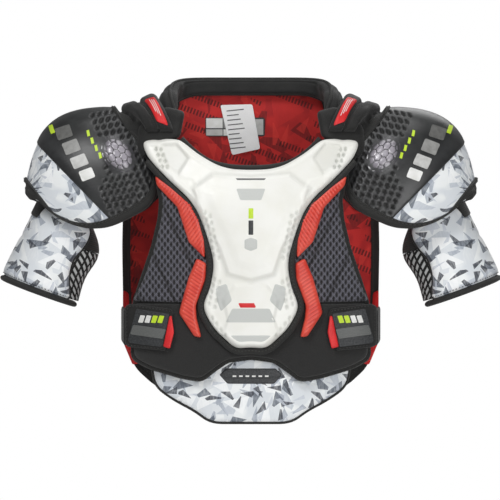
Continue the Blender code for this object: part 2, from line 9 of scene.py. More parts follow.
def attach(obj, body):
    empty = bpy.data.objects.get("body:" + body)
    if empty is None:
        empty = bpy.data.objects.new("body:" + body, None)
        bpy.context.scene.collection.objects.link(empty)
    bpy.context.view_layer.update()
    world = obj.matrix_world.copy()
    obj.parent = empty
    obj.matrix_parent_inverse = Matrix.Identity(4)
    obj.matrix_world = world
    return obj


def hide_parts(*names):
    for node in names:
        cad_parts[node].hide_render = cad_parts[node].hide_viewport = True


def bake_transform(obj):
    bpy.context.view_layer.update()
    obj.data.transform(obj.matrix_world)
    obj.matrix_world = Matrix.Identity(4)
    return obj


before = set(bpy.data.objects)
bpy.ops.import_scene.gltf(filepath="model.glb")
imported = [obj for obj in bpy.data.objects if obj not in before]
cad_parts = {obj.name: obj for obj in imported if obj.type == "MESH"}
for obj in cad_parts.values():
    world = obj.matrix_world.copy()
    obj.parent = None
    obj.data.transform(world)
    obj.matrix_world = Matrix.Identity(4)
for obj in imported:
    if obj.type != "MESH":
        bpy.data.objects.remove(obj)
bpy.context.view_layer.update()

# Looks of the hockey shoulder pads: puffed and stitched cloth, moulded plates and printed panels,
# each laid on the same surfaces as the solid that it stands for. Metres; the chest faces -Y.

# ---- The shapes that everything is laid on, with the sizes of the CAD model -----------------

HALF_WIDTH = 0.185
SQUARENESS = 2.3
FRONT_DEPTH, BACK_DEPTH = 0.115, 0.112
NECK_FRONT_DEPTH, NECK_BACK_DEPTH = 0.068, 0.080
FULL_DEPTH_Z, NECK_Z = -0.110, 0.050
LINER, GAP, MESH, BELLY = 0.005, 0.0015, 0.004, 0.003
SECOND = LINER + GAP
THIRD = SECOND + MESH + GAP
YOKE_THICK = 0.013
COLLAR_SWEEP = math.radians(125)
CUP_LENGTH, CUP_HALF_DEPTH, CUP_RISE = 0.150, 0.086, 0.037
CUP_SKIRT, CUP_SKEW = 0.122, 0.30
CUP_TILT = math.radians(39)
CUP_START = (0.167, 0.034)
CUP_ARC = 0.36
SLEEVE_LENGTH, SLEEVE_TOP, SLEEVE_HEM = 0.101, 0.034, 0.045
SLEEVE_TILT = math.radians(20)
SLEEVE_START = (0.229, -0.098)
SLEEVE_OPENS, SLEEVE_CLOSES = math.radians(14), math.radians(250)
LEFT, RIGHT, FRONT, BACK = -1, 1, -1, 1
SIDES = {LEFT: "left", RIGHT: "right"}


def torso_depth(side, z):
    full = FRONT_DEPTH if side == FRONT else BACK_DEPTH
    neck = NECK_FRONT_DEPTH if side == FRONT else NECK_BACK_DEPTH
    rise = np.clip((z - FULL_DEPTH_Z) / (NECK_Z - FULL_DEPTH_Z), 0, 1)
    return full + (neck - full) * rise * rise * (3 - 2 * rise)


def torso(side):
    def place(x, z, height):
        across = np.minimum(np.abs(x) / (HALF_WIDTH + height), 0.995)
        bulge = (1 - across**SQUARENESS) ** (1 / SQUARENESS)
        return np.stack([x, side * (torso_depth(side, z) + height) * bulge, z], -1)

    return place


def flank(side):
    """The side of the waist, where the strap is pulled straight: u runs to the back, v is z."""

    def place(y, z, height):
        x = 0.159 + 0.006 * (y + 0.0679) / 0.1149 + height
        return np.stack([side * x, y + 0 * z, z + 0 * y], -1)

    return place


def raised(base, side=1, step=1e-4):
    """A surface given a height along its outward normal; side turns the normal round."""

    def place(u, v, height):
        along = base(u + step, v) - base(u - step, v)
        across = base(u, v + step) - base(u, v - step)
        normal = np.cross(along, across)
        normal /= np.linalg.norm(normal, axis=-1, keepdims=True) + 1e-12
        return base(u, v) + side * normal * np.asarray(height)[..., None]

    return place


def yoke_base(side):
    def base(u, v):
        v = np.clip(v, -1, 1)
        inner = 0.114 - 0.019 * v * v
        outer = 0.160 - 0.033 * np.abs(v) ** 1.5
        x = inner + (outer - inner) * u
        end_z = np.where(v < 0, 0.005, -0.006)
        front = torso(FRONT)(x, end_z, LINER)[..., 1]
        back = torso(BACK)(x, end_z, LINER)[..., 1]
        top = 0.053 - 0.38 * np.maximum(x - 0.114, -0.019)
        y = np.where(v < 0, front, back) * np.abs(np.sin(v * np.pi / 2)) ** 0.9
        rise = np.maximum(np.cos(v * np.pi / 2), 0) ** 0.75
        return np.stack([side * x, y, end_z + (top - YOKE_THICK - end_z) * rise], -1)

    return base


def collar(u, v, height):
    angle = u * COLLAR_SWEEP
    bent = np.clip((np.abs(u) - 0.30) / 0.30, 0, 1)
    bent = bent * bent * (3 - 2 * bent)
    reach = 0.006 * v + height + 0.017 * bent * (1 - v)
    x = (0.090 + reach) * np.sign(angle) * np.abs(np.sin(angle)) ** 0.7
    along = np.cos(angle)
    y = 0.010 + (0.052 + reach) * np.sign(along) * np.abs(along) ** 0.7
    tall = 0.019 + 0.012 * bent
    return np.stack([x, y, 0.0730 - 0.058 * u**4 - tall * (1 - v)], -1)


def cup_base(side):
    """u runs from the yoke to the arm and v over the shoulder from front to back, in metres."""

    def base(u, v):
        u = u / CUP_LENGTH
        angle = np.clip(v / CUP_ARC, -0.5, 0.5) * np.pi
        ends = np.minimum(np.abs(2 * u - 1), 1)
        deeper = 1 + CUP_SKEW * (0.5 - np.clip(u, 0, 1))
        skirt = -0.010 - CUP_SKIRT * deeper * (1 - ends**3) ** 0.5
        crown = CUP_RISE * np.sin(np.pi * np.clip(u, 0, 1))
        out = skirt + (crown - skirt) * np.maximum(np.cos(angle), 0) ** 0.8
        half = CUP_HALF_DEPTH * (1 - 0.34 * ends**2.5)
        y = half * np.sign(angle) * np.abs(np.sin(angle)) ** 0.8
        along = u * CUP_LENGTH
        x = CUP_START[0] + math.cos(CUP_TILT) * along + math.sin(CUP_TILT) * out
        z = CUP_START[1] - math.sin(CUP_TILT) * along + math.cos(CUP_TILT) * out
        return np.stack([side * x, y, z], -1)

    return base


def sleeve(side):
    """u is the angle from the body side by way of the front, times the hem's radius; v runs down."""

    def place(u, v, height):
        angle, part = u / SLEEVE_HEM, v / SLEEVE_LENGTH
        radius = SLEEVE_TOP + (SLEEVE_HEM - SLEEVE_TOP) * part + height
        slack = 0.011 * np.exp(-(((v - 0.038) / 0.024) ** 2))
        slack -= 0.011 * np.clip(1 - v / 0.028, 0, 1) ** 2
        inward = radius * np.cos(angle) + slack * np.maximum(np.cos(angle), 0) ** 1.5
        x = SLEEVE_START[0] + math.sin(SLEEVE_TILT) * v - math.cos(SLEEVE_TILT) * inward
        z = SLEEVE_START[1] - math.cos(SLEEVE_TILT) * v - math.sin(SLEEVE_TILT) * inward
        return np.stack([side * x, -radius * np.sin(angle), z], -1)

    return place


# ---- Patterns -------------------------------------------------------------------------------


def mm(points):
    return [(x / 1000, z / 1000) for x, z in points]


def mirrored(half):
    return half + [(-x, z) for x, z in reversed(half) if x > 0]


def flipped(points, side):
    return [(side * x, z) for x, z in points]


def rectangle(x0, x1, z0, z1):
    return [(x0, z0), (x1, z0), (x1, z1), (x0, z1)]


def array_of(points):
    return np.array([tuple(point) for point in points])


def rounded(points, radius, count=5, closed=True):
    curve = []
    last = len(points) - 1
    for i, point in enumerate(points):
        corner = Vector(point)
        if not closed and i in (0, last):
            curve.append(corner)
            continue
        before = Vector(points[i - 1]) - corner
        after = Vector(points[(i + 1) % len(points)]) - corner
        start = corner + before.normalized() * min(radius, before.length / 2.1)
        end = corner + after.normalized() * min(radius, after.length / 2.1)
        for step in range(count + 1):
            part = step / count
            curve.append(start.lerp(corner, part).lerp(corner.lerp(end, part), part))
    return curve


def divided(points, longest, closed=True):
    line = []
    for i in range(len(points) if closed else len(points) - 1):
        here, after = Vector(points[i]), Vector(points[(i + 1) % len(points)])
        pieces = max(1, math.ceil((after - here).length / longest - 1e-6))
        if (after - here).length < 1e-7:
            continue
        line += [here.lerp(after, step / pieces) for step in range(pieces)]
    return line if closed else line + [Vector(points[-1])]


def turns_left(points):
    return sum(Vector(points[i - 1]).cross(Vector(points[i])) for i in range(len(points))) > 0


def spread(line, distance, closed=True):
    """The line moved to its right, point by point."""
    at = array_of(line)
    if closed:
        ahead, behind = np.roll(at, -1, 0), np.roll(at, 1, 0)
    else:
        ahead, behind = np.vstack([at[1:], at[-1:]]), np.vstack([at[:1], at[:-1]])
    run = ahead - behind
    run /= np.linalg.norm(run, axis=1, keepdims=True) + 1e-12
    return at + distance * np.stack([run[:, 1], -run[:, 0]], -1)


def edge_distance(points, outline):
    """How far each point is from the outline."""
    a = array_of(outline)
    b = np.roll(a, -1, 0)
    run = b - a
    size = (run**2).sum(1) + 1e-18
    nearest = np.full(len(points), 1e9)
    for start in range(0, len(a), 64):
        part = slice(start, start + 64)
        rel = points[:, None] - a[None, part]
        share = np.clip((rel * run[None, part]).sum(-1) / size[None, part], 0, 1)
        gap = rel - share[..., None] * run[None, part]
        nearest = np.minimum(nearest, np.sqrt((gap**2).sum(-1)).min(1))
    return nearest


def inside(points, outline):
    a = array_of(outline)
    b = np.roll(a, -1, 0)
    hit = np.zeros(len(points), bool)
    for (ax, ay), (bx, by) in zip(a, b):
        if ay == by:
            continue
        crosses = (points[:, 1] < ay) != (points[:, 1] < by)
        hit ^= crosses & (points[:, 0] < ax + (points[:, 1] - ay) * (bx - ax) / (by - ay))
    return hit


def within(points, outline):
    """Signed distance from an outline: above 0 inside it."""
    gap = edge_distance(points, outline)
    return np.where(inside(points, outline), gap, -gap)


def fill(outline, spacing, rings):
    """(points, triangles, distance from the edge) of an outline filled with even triangles."""
    border = array_of(divided(outline, spacing))
    away = -1 if turns_left(border) else 1
    parts = []
    for ring in rings:
        moved = spread(border, away * ring)
        kept = inside(moved, border)
        parts.append(moved[kept][edge_distance(moved[kept], border) > ring * 0.93])
    low, high = border.min(0), border.max(0)
    rows = np.arange(low[1], high[1], spacing * 0.866)
    columns = np.arange(low[0], high[0], spacing)
    grid = np.array(
        [(x + (i % 2) * spacing / 2, z) for i, z in enumerate(rows) for x in columns]
    )
    grid = grid[inside(grid, border)]
    gap = edge_distance(grid, border)
    parts.append(grid[gap > (rings[-1] if rings else 0) + spacing * 0.55])
    spots = [Vector(point) for point in np.vstack([border] + parts)]
    count = len(border)
    joins = [(i, (i + 1) % count) for i in range(count)]
    points, _, faces, *_ = delaunay_2d_cdt(spots, joins, [list(range(count))], 1, 1e-7)
    points = array_of(points)
    return points, faces, edge_distance(points, border)



def smooth(value, low, high):
    """0 below low and 1 above high, with a soft step between."""
    part = np.clip((value - low) / (high - low), 0, 1)
    return part * part * (3 - 2 * part)


def puffed(edge, thick, radius):
    """A height that is full inside and rolls down to 0 at the edge over this radius."""
    part = np.clip(edge / radius, 0, 1)
    return thick * np.sqrt(np.maximum(1 - (1 - part) ** 2, 0.0))


def groove(distance, half_width):
    """1 on a line and near 0 a little beyond its half width."""
    return np.exp(-((distance / half_width) ** 2))


def axes(turn):
    """The directions along and across something turned by this angle."""
    ahead = np.array([math.cos(turn), math.sin(turn)])
    return ahead, np.array([-ahead[1], ahead[0]])


def oval_reach(rel, turn, along, across):
    """0 in the middle of a turned oval and 1 on its rim, for points measured from its middle."""
    ahead, beside = axes(turn)
    return np.hypot(rel @ ahead / along, rel @ beside / across)


# ---- Meshes ---------------------------------------------------------------------------------


def new_object(name, corners, faces, uvs=None, values=None, sharp=50):
    mesh = bpy.data.meshes.new(name)
    mesh.from_pydata([tuple(corner) for corner in corners], [], faces)
    if uvs is not None:
        layer = mesh.uv_layers.new(name="UVMap")
        index = np.empty(len(mesh.loops), np.int32)
        mesh.loops.foreach_get("vertex_index", index)
        layer.data.foreach_set("uv", np.asarray(uvs)[index].astype(np.float32).ravel())
    for key, value in (values or {}).items():
        attribute = mesh.attributes.new(key, "FLOAT", "POINT")
        attribute.data.foreach_set("value", np.asarray(value, np.float32))
    first = np.asarray(corners)
    mesh.calc_loop_triangles()
    tris = np.empty(len(mesh.loop_triangles) * 3, np.int32)
    mesh.loop_triangles.foreach_get("vertices", tris)
    trio = first[tris.reshape(-1, 3)]
    if np.einsum("ij,ij->i", trio[:, 0], np.cross(trio[:, 1], trio[:, 2])).sum() < 0:
        mesh.flip_normals()
    mesh.shade_smooth()
    mesh.set_sharp_from_angle(angle=math.radians(sharp))
    obj = bpy.data.objects.new(name, mesh)
    bpy.context.collection.objects.link(obj)
    return obj


def finish_piece(obj, body, material, replaces=(), slot=None):
    obj.data.materials.append(FINISH[material])
    if body:
        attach(obj, body)
    if replaces:
        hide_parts(*replaces)
    return obj


def panel(
    name, body, material, surface, outline, low, high, spacing=0.003,
    rings=(0.0005, 0.0014, 0.0028), replaces=(), slot=None, values=None, low_at=None,
):
    """A closed panel on a surface. high(points, edge) gives the height of its outer face."""
    points, faces, edge = fill(outline, spacing, rings)
    count = len(points)
    u, v = points.T
    under = np.full(count, low) if low_at is None else low_at(points, edge)
    over = np.maximum(high(points, edge), under + 0.0003)
    corners = np.vstack([surface(u, v, under), surface(u, v, over)])
    sides = {}
    for face in faces:
        for i in range(3):
            sides[(face[i - 1], face[i])] = True
    rim = [(a, b) for a, b in sides if (b, a) not in sides]
    solid = [tuple(reversed(face)) for face in faces]
    solid += [tuple(index + count for index in face) for face in faces]
    solid += [(a, b, b + count, a + count) for a, b in rim]
    extra = {key: np.tile(rule(points, edge), 2) for key, rule in (values or {}).items()}
    obj = new_object(name, corners, solid, np.vstack([points, points]), extra)
    return finish_piece(obj, body, material, replaces, slot)

def thin(
    name, body, material, surface, outline, face, low, high, spacing=0.0025, rings=(0.0005,),
    replaces=(), slot=None,
):
    """A thin piece between two heights above a face, which is a rule of (points, edge)."""
    return panel(
        name, body, material, surface, outline, 0, lambda p, e: face(p, e) + high, spacing, rings,
        replaces, slot, low_at=lambda p, e: face(p, e) + low,
    )


def lengths(at):
    """How far along a line each of its points is."""
    return np.concatenate([[0], np.cumsum(np.linalg.norm(np.diff(at, axis=0), axis=1))])


def band(name, body, surface, line, profile, closed=True, replaces=(), slot=None):
    """A strip of binding swept along a line. profile is a closed loop of (sideways, height)."""
    line = divided(line, 0.004, closed)
    along = lengths(array_of(line))
    count, ring = len(line), len(profile)
    corners = np.empty((count, ring, 3))
    uvs = np.empty((count, ring, 2))
    for k, (sideways, height) in enumerate(profile):
        moved = spread(line, sideways, closed)
        corners[:, k] = surface(moved[:, 0], moved[:, 1], np.full(count, height))
        uvs[:, k, 0] = along
        uvs[:, k, 1] = sideways
    faces = []
    for i in range(count if closed else count - 1):
        here, after = i * ring, ((i + 1) % count) * ring
        for k in range(ring):
            m = (k + 1) % ring
            faces.append((here + k, here + m, after + m, after + k))
    if not closed:
        faces.append(tuple(reversed(range(ring))))
        faces.append(tuple((count - 1) * ring + k for k in range(ring)))
    obj = new_object(name, corners.reshape(-1, 3), faces, uvs.reshape(-1, 2))
    return finish_piece(obj, body, "binding", replaces, slot)


def tape(width, low, thick, start=0.0, count=7):
    """The section of a folded binding: flat below and rounded above, from start sideways."""
    loop = [(start, low), (start + width, low)]
    for k in range(count):
        turn = math.pi * k / (count - 1)
        loop.append(
            (start + width / 2 * (1 + math.cos(turn)), low + thick * (0.35 + 0.65 * math.sin(turn)))
        )
    return loop

STITCH_PITCH, STITCH_LENGTH, STITCH_RADIUS = 0.0042, 0.0028, 0.00045


def thread_bars(name, body, bars):
    """One object of small rounded bars of thread. bars are (start, end, upward) of each."""
    corners, faces = [], []
    for a, b, up in bars:
        up = up / (np.linalg.norm(up) + 1e-12)
        beside = np.cross(up, (b - a) / (np.linalg.norm(b - a) + 1e-12))
        base = len(corners)
        corners += [a, b]
        for part in (0.22, 0.78):
            here = a + (b - a) * part
            corners += [here + up * STITCH_RADIUS * 1.3, here + beside * STITCH_RADIUS,
                        here - up * STITCH_RADIUS, here - beside * STITCH_RADIUS]
        for k in range(4):
            m = (k + 1) % 4
            faces.append((base, base + 2 + m, base + 2 + k))
            faces.append((base + 1, base + 6 + k, base + 6 + m))
            faces.append((base + 2 + k, base + 2 + m, base + 6 + m, base + 6 + k))
    return finish_piece(new_object(name, np.array(corners), faces, sharp=80), body, "thread")


def stitch_spots(run):
    """The start, middle and end of each stitch along a line of this length."""
    starts = np.arange(STITCH_PITCH / 2, run - STITCH_LENGTH, STITCH_PITCH)
    return [(start, start + STITCH_LENGTH / 2, start + STITCH_LENGTH) for start in starts]


def stitches(name, body, surface, line, height, closed=True):
    """A row of thread stitches along a line of a surface measured in metres."""
    at = array_of(divided(line, 0.001, closed))
    run = lengths(at)
    bars = []
    for spots in stitch_spots(run[-1]):
        u, v = np.interp(spots, run, at[:, 0]), np.interp(spots, run, at[:, 1])
        a, middle, b = surface(u, v, np.full(3, height))
        bars.append((a, b, surface(u[1:2], v[1:2], np.array([height + 0.001]))[0] - middle))
    return thread_bars(name, body, bars)


def stitches_on(name, body, surface, line, height):
    """Thread stitches along a line given in a surface's own measure, spaced in metres."""
    at = np.array(line)
    spots = surface(at[:, 0], at[:, 1], np.full(len(at), height))
    run = lengths(spots)
    bars = []
    for where in stitch_spots(run[-1]):
        a, b = (np.array([np.interp(s, run, spots[:, k]) for k in range(3)]) for s in where[::2])
        u, v = np.interp(where[1:2], run, at[:, 0]), np.interp(where[1:2], run, at[:, 1])
        up = surface(u, v, np.array([height + 0.001]))[0] - surface(u, v, np.array([height]))[0]
        bars.append((a, b, up))
    return thread_bars(name, body, bars)


# ---- Materials ------------------------------------------------------------------------------


def srgb(*levels):
    """Scene colour from screen levels of 0 to 255."""
    shares = [level / 255 for level in levels]
    return tuple(s / 12.92 if s <= 0.04045 else ((s + 0.055) / 1.055) ** 2.4 for s in shares)


def grey(level):
    return (level, level, level)


class Finish:
    """A Principled material, with short ways to add nodes to it. Colours are screen levels."""

    def __init__(self, name, colour, roughness, **sockets):
        self.material = bpy.data.materials.new(name)
        self.material.use_nodes = True
        self.tree = self.material.node_tree
        self.shader = self.tree.nodes["Principled BSDF"]
        self.shader.inputs["Base Color"].default_value = (*srgb(*colour), 1)
        self.shader.inputs["Roughness"].default_value = roughness
        for key, value in sockets.items():
            self.shader.inputs[key.replace("_", " ")].default_value = value
        self.coords = self.tree.nodes.new("ShaderNodeTexCoord")

    def put(self, socket, value):
        if isinstance(value, bpy.types.NodeSocket):
            self.tree.links.new(value, socket)
        elif isinstance(value, tuple) and len(value) == 3 and socket.type == "RGBA":
            socket.default_value = (*value, 1)
        else:
            socket.default_value = value

    def node(self, kind, **inputs):
        """A node with these inputs; an underscore in a name stands for a space."""
        node = self.tree.nodes.new("ShaderNode" + kind)
        for key, value in inputs.items():
            self.put(node.inputs[key.replace("_", " ")], value)
        return node

    def math(self, operation, a, b=0.0, c=0.0):
        node = self.node("Math")
        node.operation = operation
        for socket, value in zip(node.inputs, (a, b, c)):
            self.put(socket, value)
        return node.outputs[0]

    def wave(self, along, pitch):
        return self.math("SINE", self.math("MULTIPLY", along, 2 * math.pi / pitch))

    def vector(self, operation, a, b):
        node = self.node("VectorMath")
        node.operation = operation
        self.put(node.inputs[0], a)
        self.put(node.inputs["Scale" if operation == "SCALE" else 1], b)
        return node.outputs["Vector"]

    def place(self, kind="UV", scale=(1, 1, 1), turn=0.0):
        node = self.node("Mapping", Vector=self.coords.outputs[kind])
        node.inputs["Rotation"].default_value = (0, 0, turn)
        node.inputs["Scale"].default_value = scale
        return node.outputs[0]

    def parts(self, vector):
        return self.node("SeparateXYZ", Vector=vector).outputs

    def noise(self, vector, scale, detail=3.0):
        return self.node("TexNoise", Vector=vector, Scale=scale, Detail=detail).outputs[0]

    def cells(self, vector, scale):
        node = self.node("TexVoronoi")
        node.voronoi_dimensions = "2D"
        self.put(node.inputs["Vector"], vector)
        node.inputs["Scale"].default_value = scale
        return node.outputs

    def ramp(self, value, low, high, to_low=0.0, to_high=1.0):
        node = self.node("MapRange", From_Min=low, From_Max=high, To_Min=to_low, To_Max=to_high,
                         Value=value)
        node.interpolation_type = "SMOOTHSTEP"
        return node.outputs[0]

    def mix(self, share, a, b):
        """Between two results or two screen colours."""
        node = self.node("Mix")
        node.data_type = "RGBA"
        self.put(node.inputs["Factor"], share)
        for key, shade in (("A", a), ("B", b)):
            self.put(node.inputs[key], srgb(*shade) if isinstance(shade, tuple) else shade)
        return node.outputs["Result"]

    def value(self, name):
        node = self.node("Attribute")
        node.attribute_name = name
        return node.outputs["Fac"]

    def colour(self, result):
        self.put(self.shader.inputs["Base Color"], result)

    def rough(self, result):
        self.put(self.shader.inputs["Roughness"], result)

    def bump(self, height, strength, distance):
        node = self.node("Bump", Strength=strength, Distance=distance, Height=height)
        before = self.shader.inputs["Normal"]
        if before.is_linked:
            self.put(node.inputs["Normal"], before.links[0].from_socket)
        self.tree.links.new(node.outputs[0], before)

    def weave(self, kind, pitch):
        """0 to 1 over and under threads of this pitch, from the first and last coordinates."""
        x, y, z = self.parts(self.place(kind))
        up = y if kind == "UV" else z
        across = x if kind == "UV" else self.math("ADD", x, y)
        both = self.math("MULTIPLY", self.wave(across, pitch), self.wave(up, pitch))
        return self.math("MULTIPLY_ADD", both, 0.5, 0.5)


def cloth(name, dark, light, roughness, pitch=0.0012, kind="UV", strength=0.5, **sockets):
    """Woven cloth whose colour drifts between two shades, with a finer grain."""
    finish = Finish(name, light, roughness, **sockets)
    broad = finish.noise(finish.place(kind), 60.0, 4.0)
    fine = finish.noise(finish.place(kind), 840.0, 2.0)
    both = finish.math("MULTIPLY_ADD", fine, 0.45, finish.math("MULTIPLY", broad, 0.55))
    finish.colour(finish.mix(finish.ramp(both, 0.35, 0.65), dark, light))
    finish.bump(finish.weave(kind, pitch), strength, 0.0003)
    finish.bump(finish.noise(finish.place(kind), 90, 4.0), 0.25, 0.0012)
    return finish


def grained(
    name, base, roughness, scale, dark, light, detail=3.0, kind="UV", ends=None, bump=None, **sockets
):
    """A finish between two shades by the grain of one noise, which can also be its relief."""
    finish = Finish(name, base, roughness, **sockets)
    grain = finish.noise(finish.place(kind), scale, detail)
    finish.colour(finish.mix(finish.ramp(grain, *ends) if ends else grain, dark, light))
    if bump:
        finish.bump(grain, *bump)
    return finish


def triangle_shards(finish, spot, scale, slim, cut, seed_move):
    """1 inside sharp triangles, one in each cell of a scattered pattern, turned at random."""
    moved = finish.vector("ADD", spot, seed_move)
    cells = finish.cells(moved, scale)
    local = finish.vector("SCALE", finish.vector("SUBTRACT", moved, cells["Position"]), scale)
    red, green, blue = finish.parts(cells["Color"])
    turn = finish.tree.nodes.new("ShaderNodeVectorRotate")
    turn.rotation_type = "Z_AXIS"
    finish.put(turn.inputs["Vector"], local)
    finish.put(turn.inputs["Angle"], finish.math("MULTIPLY", red, 2 * math.pi))
    x, y, _ = finish.parts(turn.outputs[0])
    slant = finish.math("MULTIPLY_ADD", green, 2.2, -1.1)
    lean = finish.math("SUBTRACT", x, finish.math("MULTIPLY", slant, y))
    side = finish.math("MULTIPLY_ADD", finish.math("ABSOLUTE", lean), slim, y)
    top = finish.math("LESS_THAN", side, 0.62)
    bottom = finish.math("GREATER_THAN", finish.math("MULTIPLY_ADD", x, 0.35, y), -0.26)
    kept = finish.math("GREATER_THAN", blue, cut)
    return finish.math("MULTIPLY", finish.math("MULTIPLY", top, bottom), kept)

def shard_print(name, layers, base, roughness, hatch=None):
    """Cloth printed with overlapping broken shards; layers are (colour, scale, slim, cut, share)."""
    finish = Finish(name, base, roughness, Sheen_Weight=0.15)
    spot = finish.place()
    grain = finish.noise(finish.place("UV", (1, 0.25, 1)), 420, 2.0)
    result = finish.mix(finish.ramp(finish.noise(spot, 40, 1.0), 0.4, 0.6), base, layers[0][0])
    for number, (colour, size, slim, cut, share) in enumerate(layers):
        mask = triangle_shards(finish, spot, size, slim, cut, (0.37 * number, 0.21 * number, 0))
        streak = finish.ramp(grain, 0.3, 0.62, share * 0.72, share)
        result = finish.mix(finish.math("MULTIPLY", mask, streak), result, colour)
    if hatch:
        x, y, _ = finish.parts(finish.place(turn=0.35))
        rules = ((finish.math("SINE", finish.math("MULTIPLY", x, 1500)), 0.0),
                 (finish.math("SINE", finish.math("MULTIPLY", y, 330)), 0.35),
                 (finish.noise(spot, 16, 1.0), 0.52))
        strokes, rows, patch = (finish.math("GREATER_THAN", wave, least) for wave, least in rules)
        mask = finish.math("MULTIPLY", finish.math("MULTIPLY", strokes, rows), patch)
        result = finish.mix(finish.math("MULTIPLY", mask, 0.8), result, hatch)
    finish.colour(result)
    finish.bump(finish.weave("UV", 0.001), 0.35, 0.0003)
    finish.bump(finish.noise(spot, 70, 3.0), 0.22, 0.0016)
    return finish


def white_moulding():
    shell = Finish("white_moulding", (236, 236, 230), 0.42, Coat_Weight=0.12, Coat_Roughness=0.3)
    # Painted shade: the recess_shade attribute darkens the plate in its dimples, its shoulder dips and
    # along the shield's step.
    tone = shell.mix(shell.value("recess_shade"), (238, 238, 233), (182, 184, 178))
    warm = shell.ramp(shell.noise(shell.place(), 30), 0.35, 0.7)
    shell.colour(shell.mix(shell.math("MULTIPLY", warm, 0.35), tone, (226, 225, 214)))
    shell.rough(shell.ramp(shell.noise(shell.place(), 260), 0.3, 0.7, 0.36, 0.52))
    shell.bump(shell.noise(shell.place(), 900, 2.0), 0.12, 0.0002)
    return shell


def pale_mesh():
    inset = Finish("pale_mesh", (205, 207, 203), 0.6)
    weave = inset.weave("UV", 0.0016)
    inset.colour(inset.mix(weave, (178, 181, 179), (216, 218, 214)))
    inset.bump(weave, 0.5, 0.0003)
    return inset


def grosgrain():
    binding = Finish("grosgrain", (45, 45, 43), 0.76, Sheen_Weight=0.08)
    along = binding.parts(binding.place())[0]
    ribs = binding.math("MULTIPLY_ADD", binding.wave(along, 0.0011), 0.5, 0.5)
    binding.colour(binding.mix(ribs, grey(18), (42, 42, 40)))
    binding.bump(ribs, 0.6, 0.0003)
    return binding


def coral_moulding():
    rib = Finish("coral_moulding", (225, 75, 60), 0.4, Coat_Weight=0.15, Coat_Roughness=0.35)
    tone = rib.mix(rib.ramp(rib.noise(rib.place(), 45), 0.3, 0.7), (214, 60, 46), (232, 88, 70))
    # Painted shade: darker between the ridges, by the recess_shade attribute.
    rib.colour(rib.mix(rib.value("recess_shade"), tone, (176, 38, 30)))
    rib.bump(rib.noise(rib.place(), 700, 2.0), 0.15, 0.0002)
    return rib


def spacer_mesh():
    mesh = Finish("spacer_mesh", (90, 90, 98), 0.75, Sheen_Weight=0.2)
    fine = mesh.math("MULTIPLY", mesh.noise(mesh.place(), 600, 2.0), 0.4)
    knit = mesh.math("MULTIPLY_ADD", mesh.weave("UV", 0.0022), 0.6, fine)
    tone = mesh.mix(mesh.ramp(knit, 0.25, 0.75), (58, 57, 63), (112, 112, 124))
    # The recess_shade attribute darkens the holes, which open onto the dark layer below, and the chevron
    # grooves, where it is painted shade.
    mesh.colour(mesh.mix(mesh.value("recess_shade"), tone, (20, 17, 19)))
    mesh.bump(knit, 0.6, 0.0004)
    return mesh


def cap_satin():
    cap = Finish("cap_satin", (58, 60, 60), 0.42, Coat_Weight=0.2, Coat_Roughness=0.28)
    hole = cap.value("hole")
    tone = cap.mix(cap.ramp(cap.noise(cap.place(), 60), 0.3, 0.7), (24, 25, 26), (40, 42, 42))
    # Painted highlight: the painted_highlight attribute lightens a band inside the cap's edge and the
    # patch round the boss.
    tone = cap.mix(cap.value("painted_highlight"), tone, (92, 90, 95))
    cap.colour(cap.mix(cap.ramp(hole, 0.22, 0.5), tone, grey(5)))
    cap.rough(cap.math("MULTIPLY_ADD", hole, 0.45, 0.40))
    cap.bump(cap.weave("UV", 0.0009), 0.15, 0.0002)
    return cap


def boss_gel():
    boss = Finish("boss_gel", (120, 118, 124), 0.25, Coat_Weight=0.6, Coat_Roughness=0.12)
    # Painted highlight in the middle of the boss, fading to painted shade at its rim.
    tone = boss.mix(boss.value("painted_highlight"), (60, 58, 63), (168, 163, 172))
    grain = boss.math("MULTIPLY", boss.noise(boss.place(), 300), 0.35)
    tone = boss.mix(grain, tone, (84, 82, 88))
    boss.colour(boss.mix(boss.value("hole"), tone, (16, 16, 17)))
    return boss


def elastic_web():
    web = Finish("elastic_web", grey(30), 0.8, Sheen_Weight=0.2)
    u, v, _ = web.parts(web.place())
    ticks = web.math("MULTIPLY", web.wave(u, 0.0016), 0.15)
    both = web.math("MULTIPLY_ADD", web.wave(v, 0.0024), 0.35, ticks)
    web.colour(web.mix(web.math("ADD", both, 0.5), grey(10), (36, 36, 35)))
    web.bump(both, 0.7, 0.0005)
    return web


def dashed_web():
    dash = Finish("dashed_web", grey(30), 0.75)
    u, v, _ = dash.parts(dash.place())
    slanted = dash.math("MULTIPLY_ADD", u, 0.7, v)
    lines = dash.math("GREATER_THAN", dash.wave(slanted, 0.0080), 0.0)
    marks = dash.math("MULTIPLY", lines, dash.math("GREATER_THAN", dash.wave(u, 0.0110), -0.65))
    dash.colour(dash.mix(marks, grey(22), (190, 192, 192)))
    dash.bump(marks, 0.4, 0.0003)
    return dash


LINER_LAYERS = [
    ((208, 38, 36), 20, 1.6, 0.25, 0.75), ((112, 14, 18), 26, 2.8, 0.45, 0.8),
    ((140, 16, 20), 34, 3.6, 0.45, 0.8), ((224, 54, 46), 40, 3.4, 0.5, 0.7),
]
SHARD_LAYERS = [
    ((222, 227, 232), 24, 1.5, 0.2, 0.8), ((190, 197, 207), 34, 3.2, 0.35, 0.8),
    ((250, 252, 253), 30, 2.4, 0.25, 0.9), ((160, 168, 181), 44, 4.6, 0.45, 0.85),
    ((98, 106, 118), 44, 2.8, 0.45, 0.95), ((58, 62, 72), 54, 3.6, 0.50, 0.95),
    ((200, 206, 216), 52, 6.5, 0.40, 0.85),
]


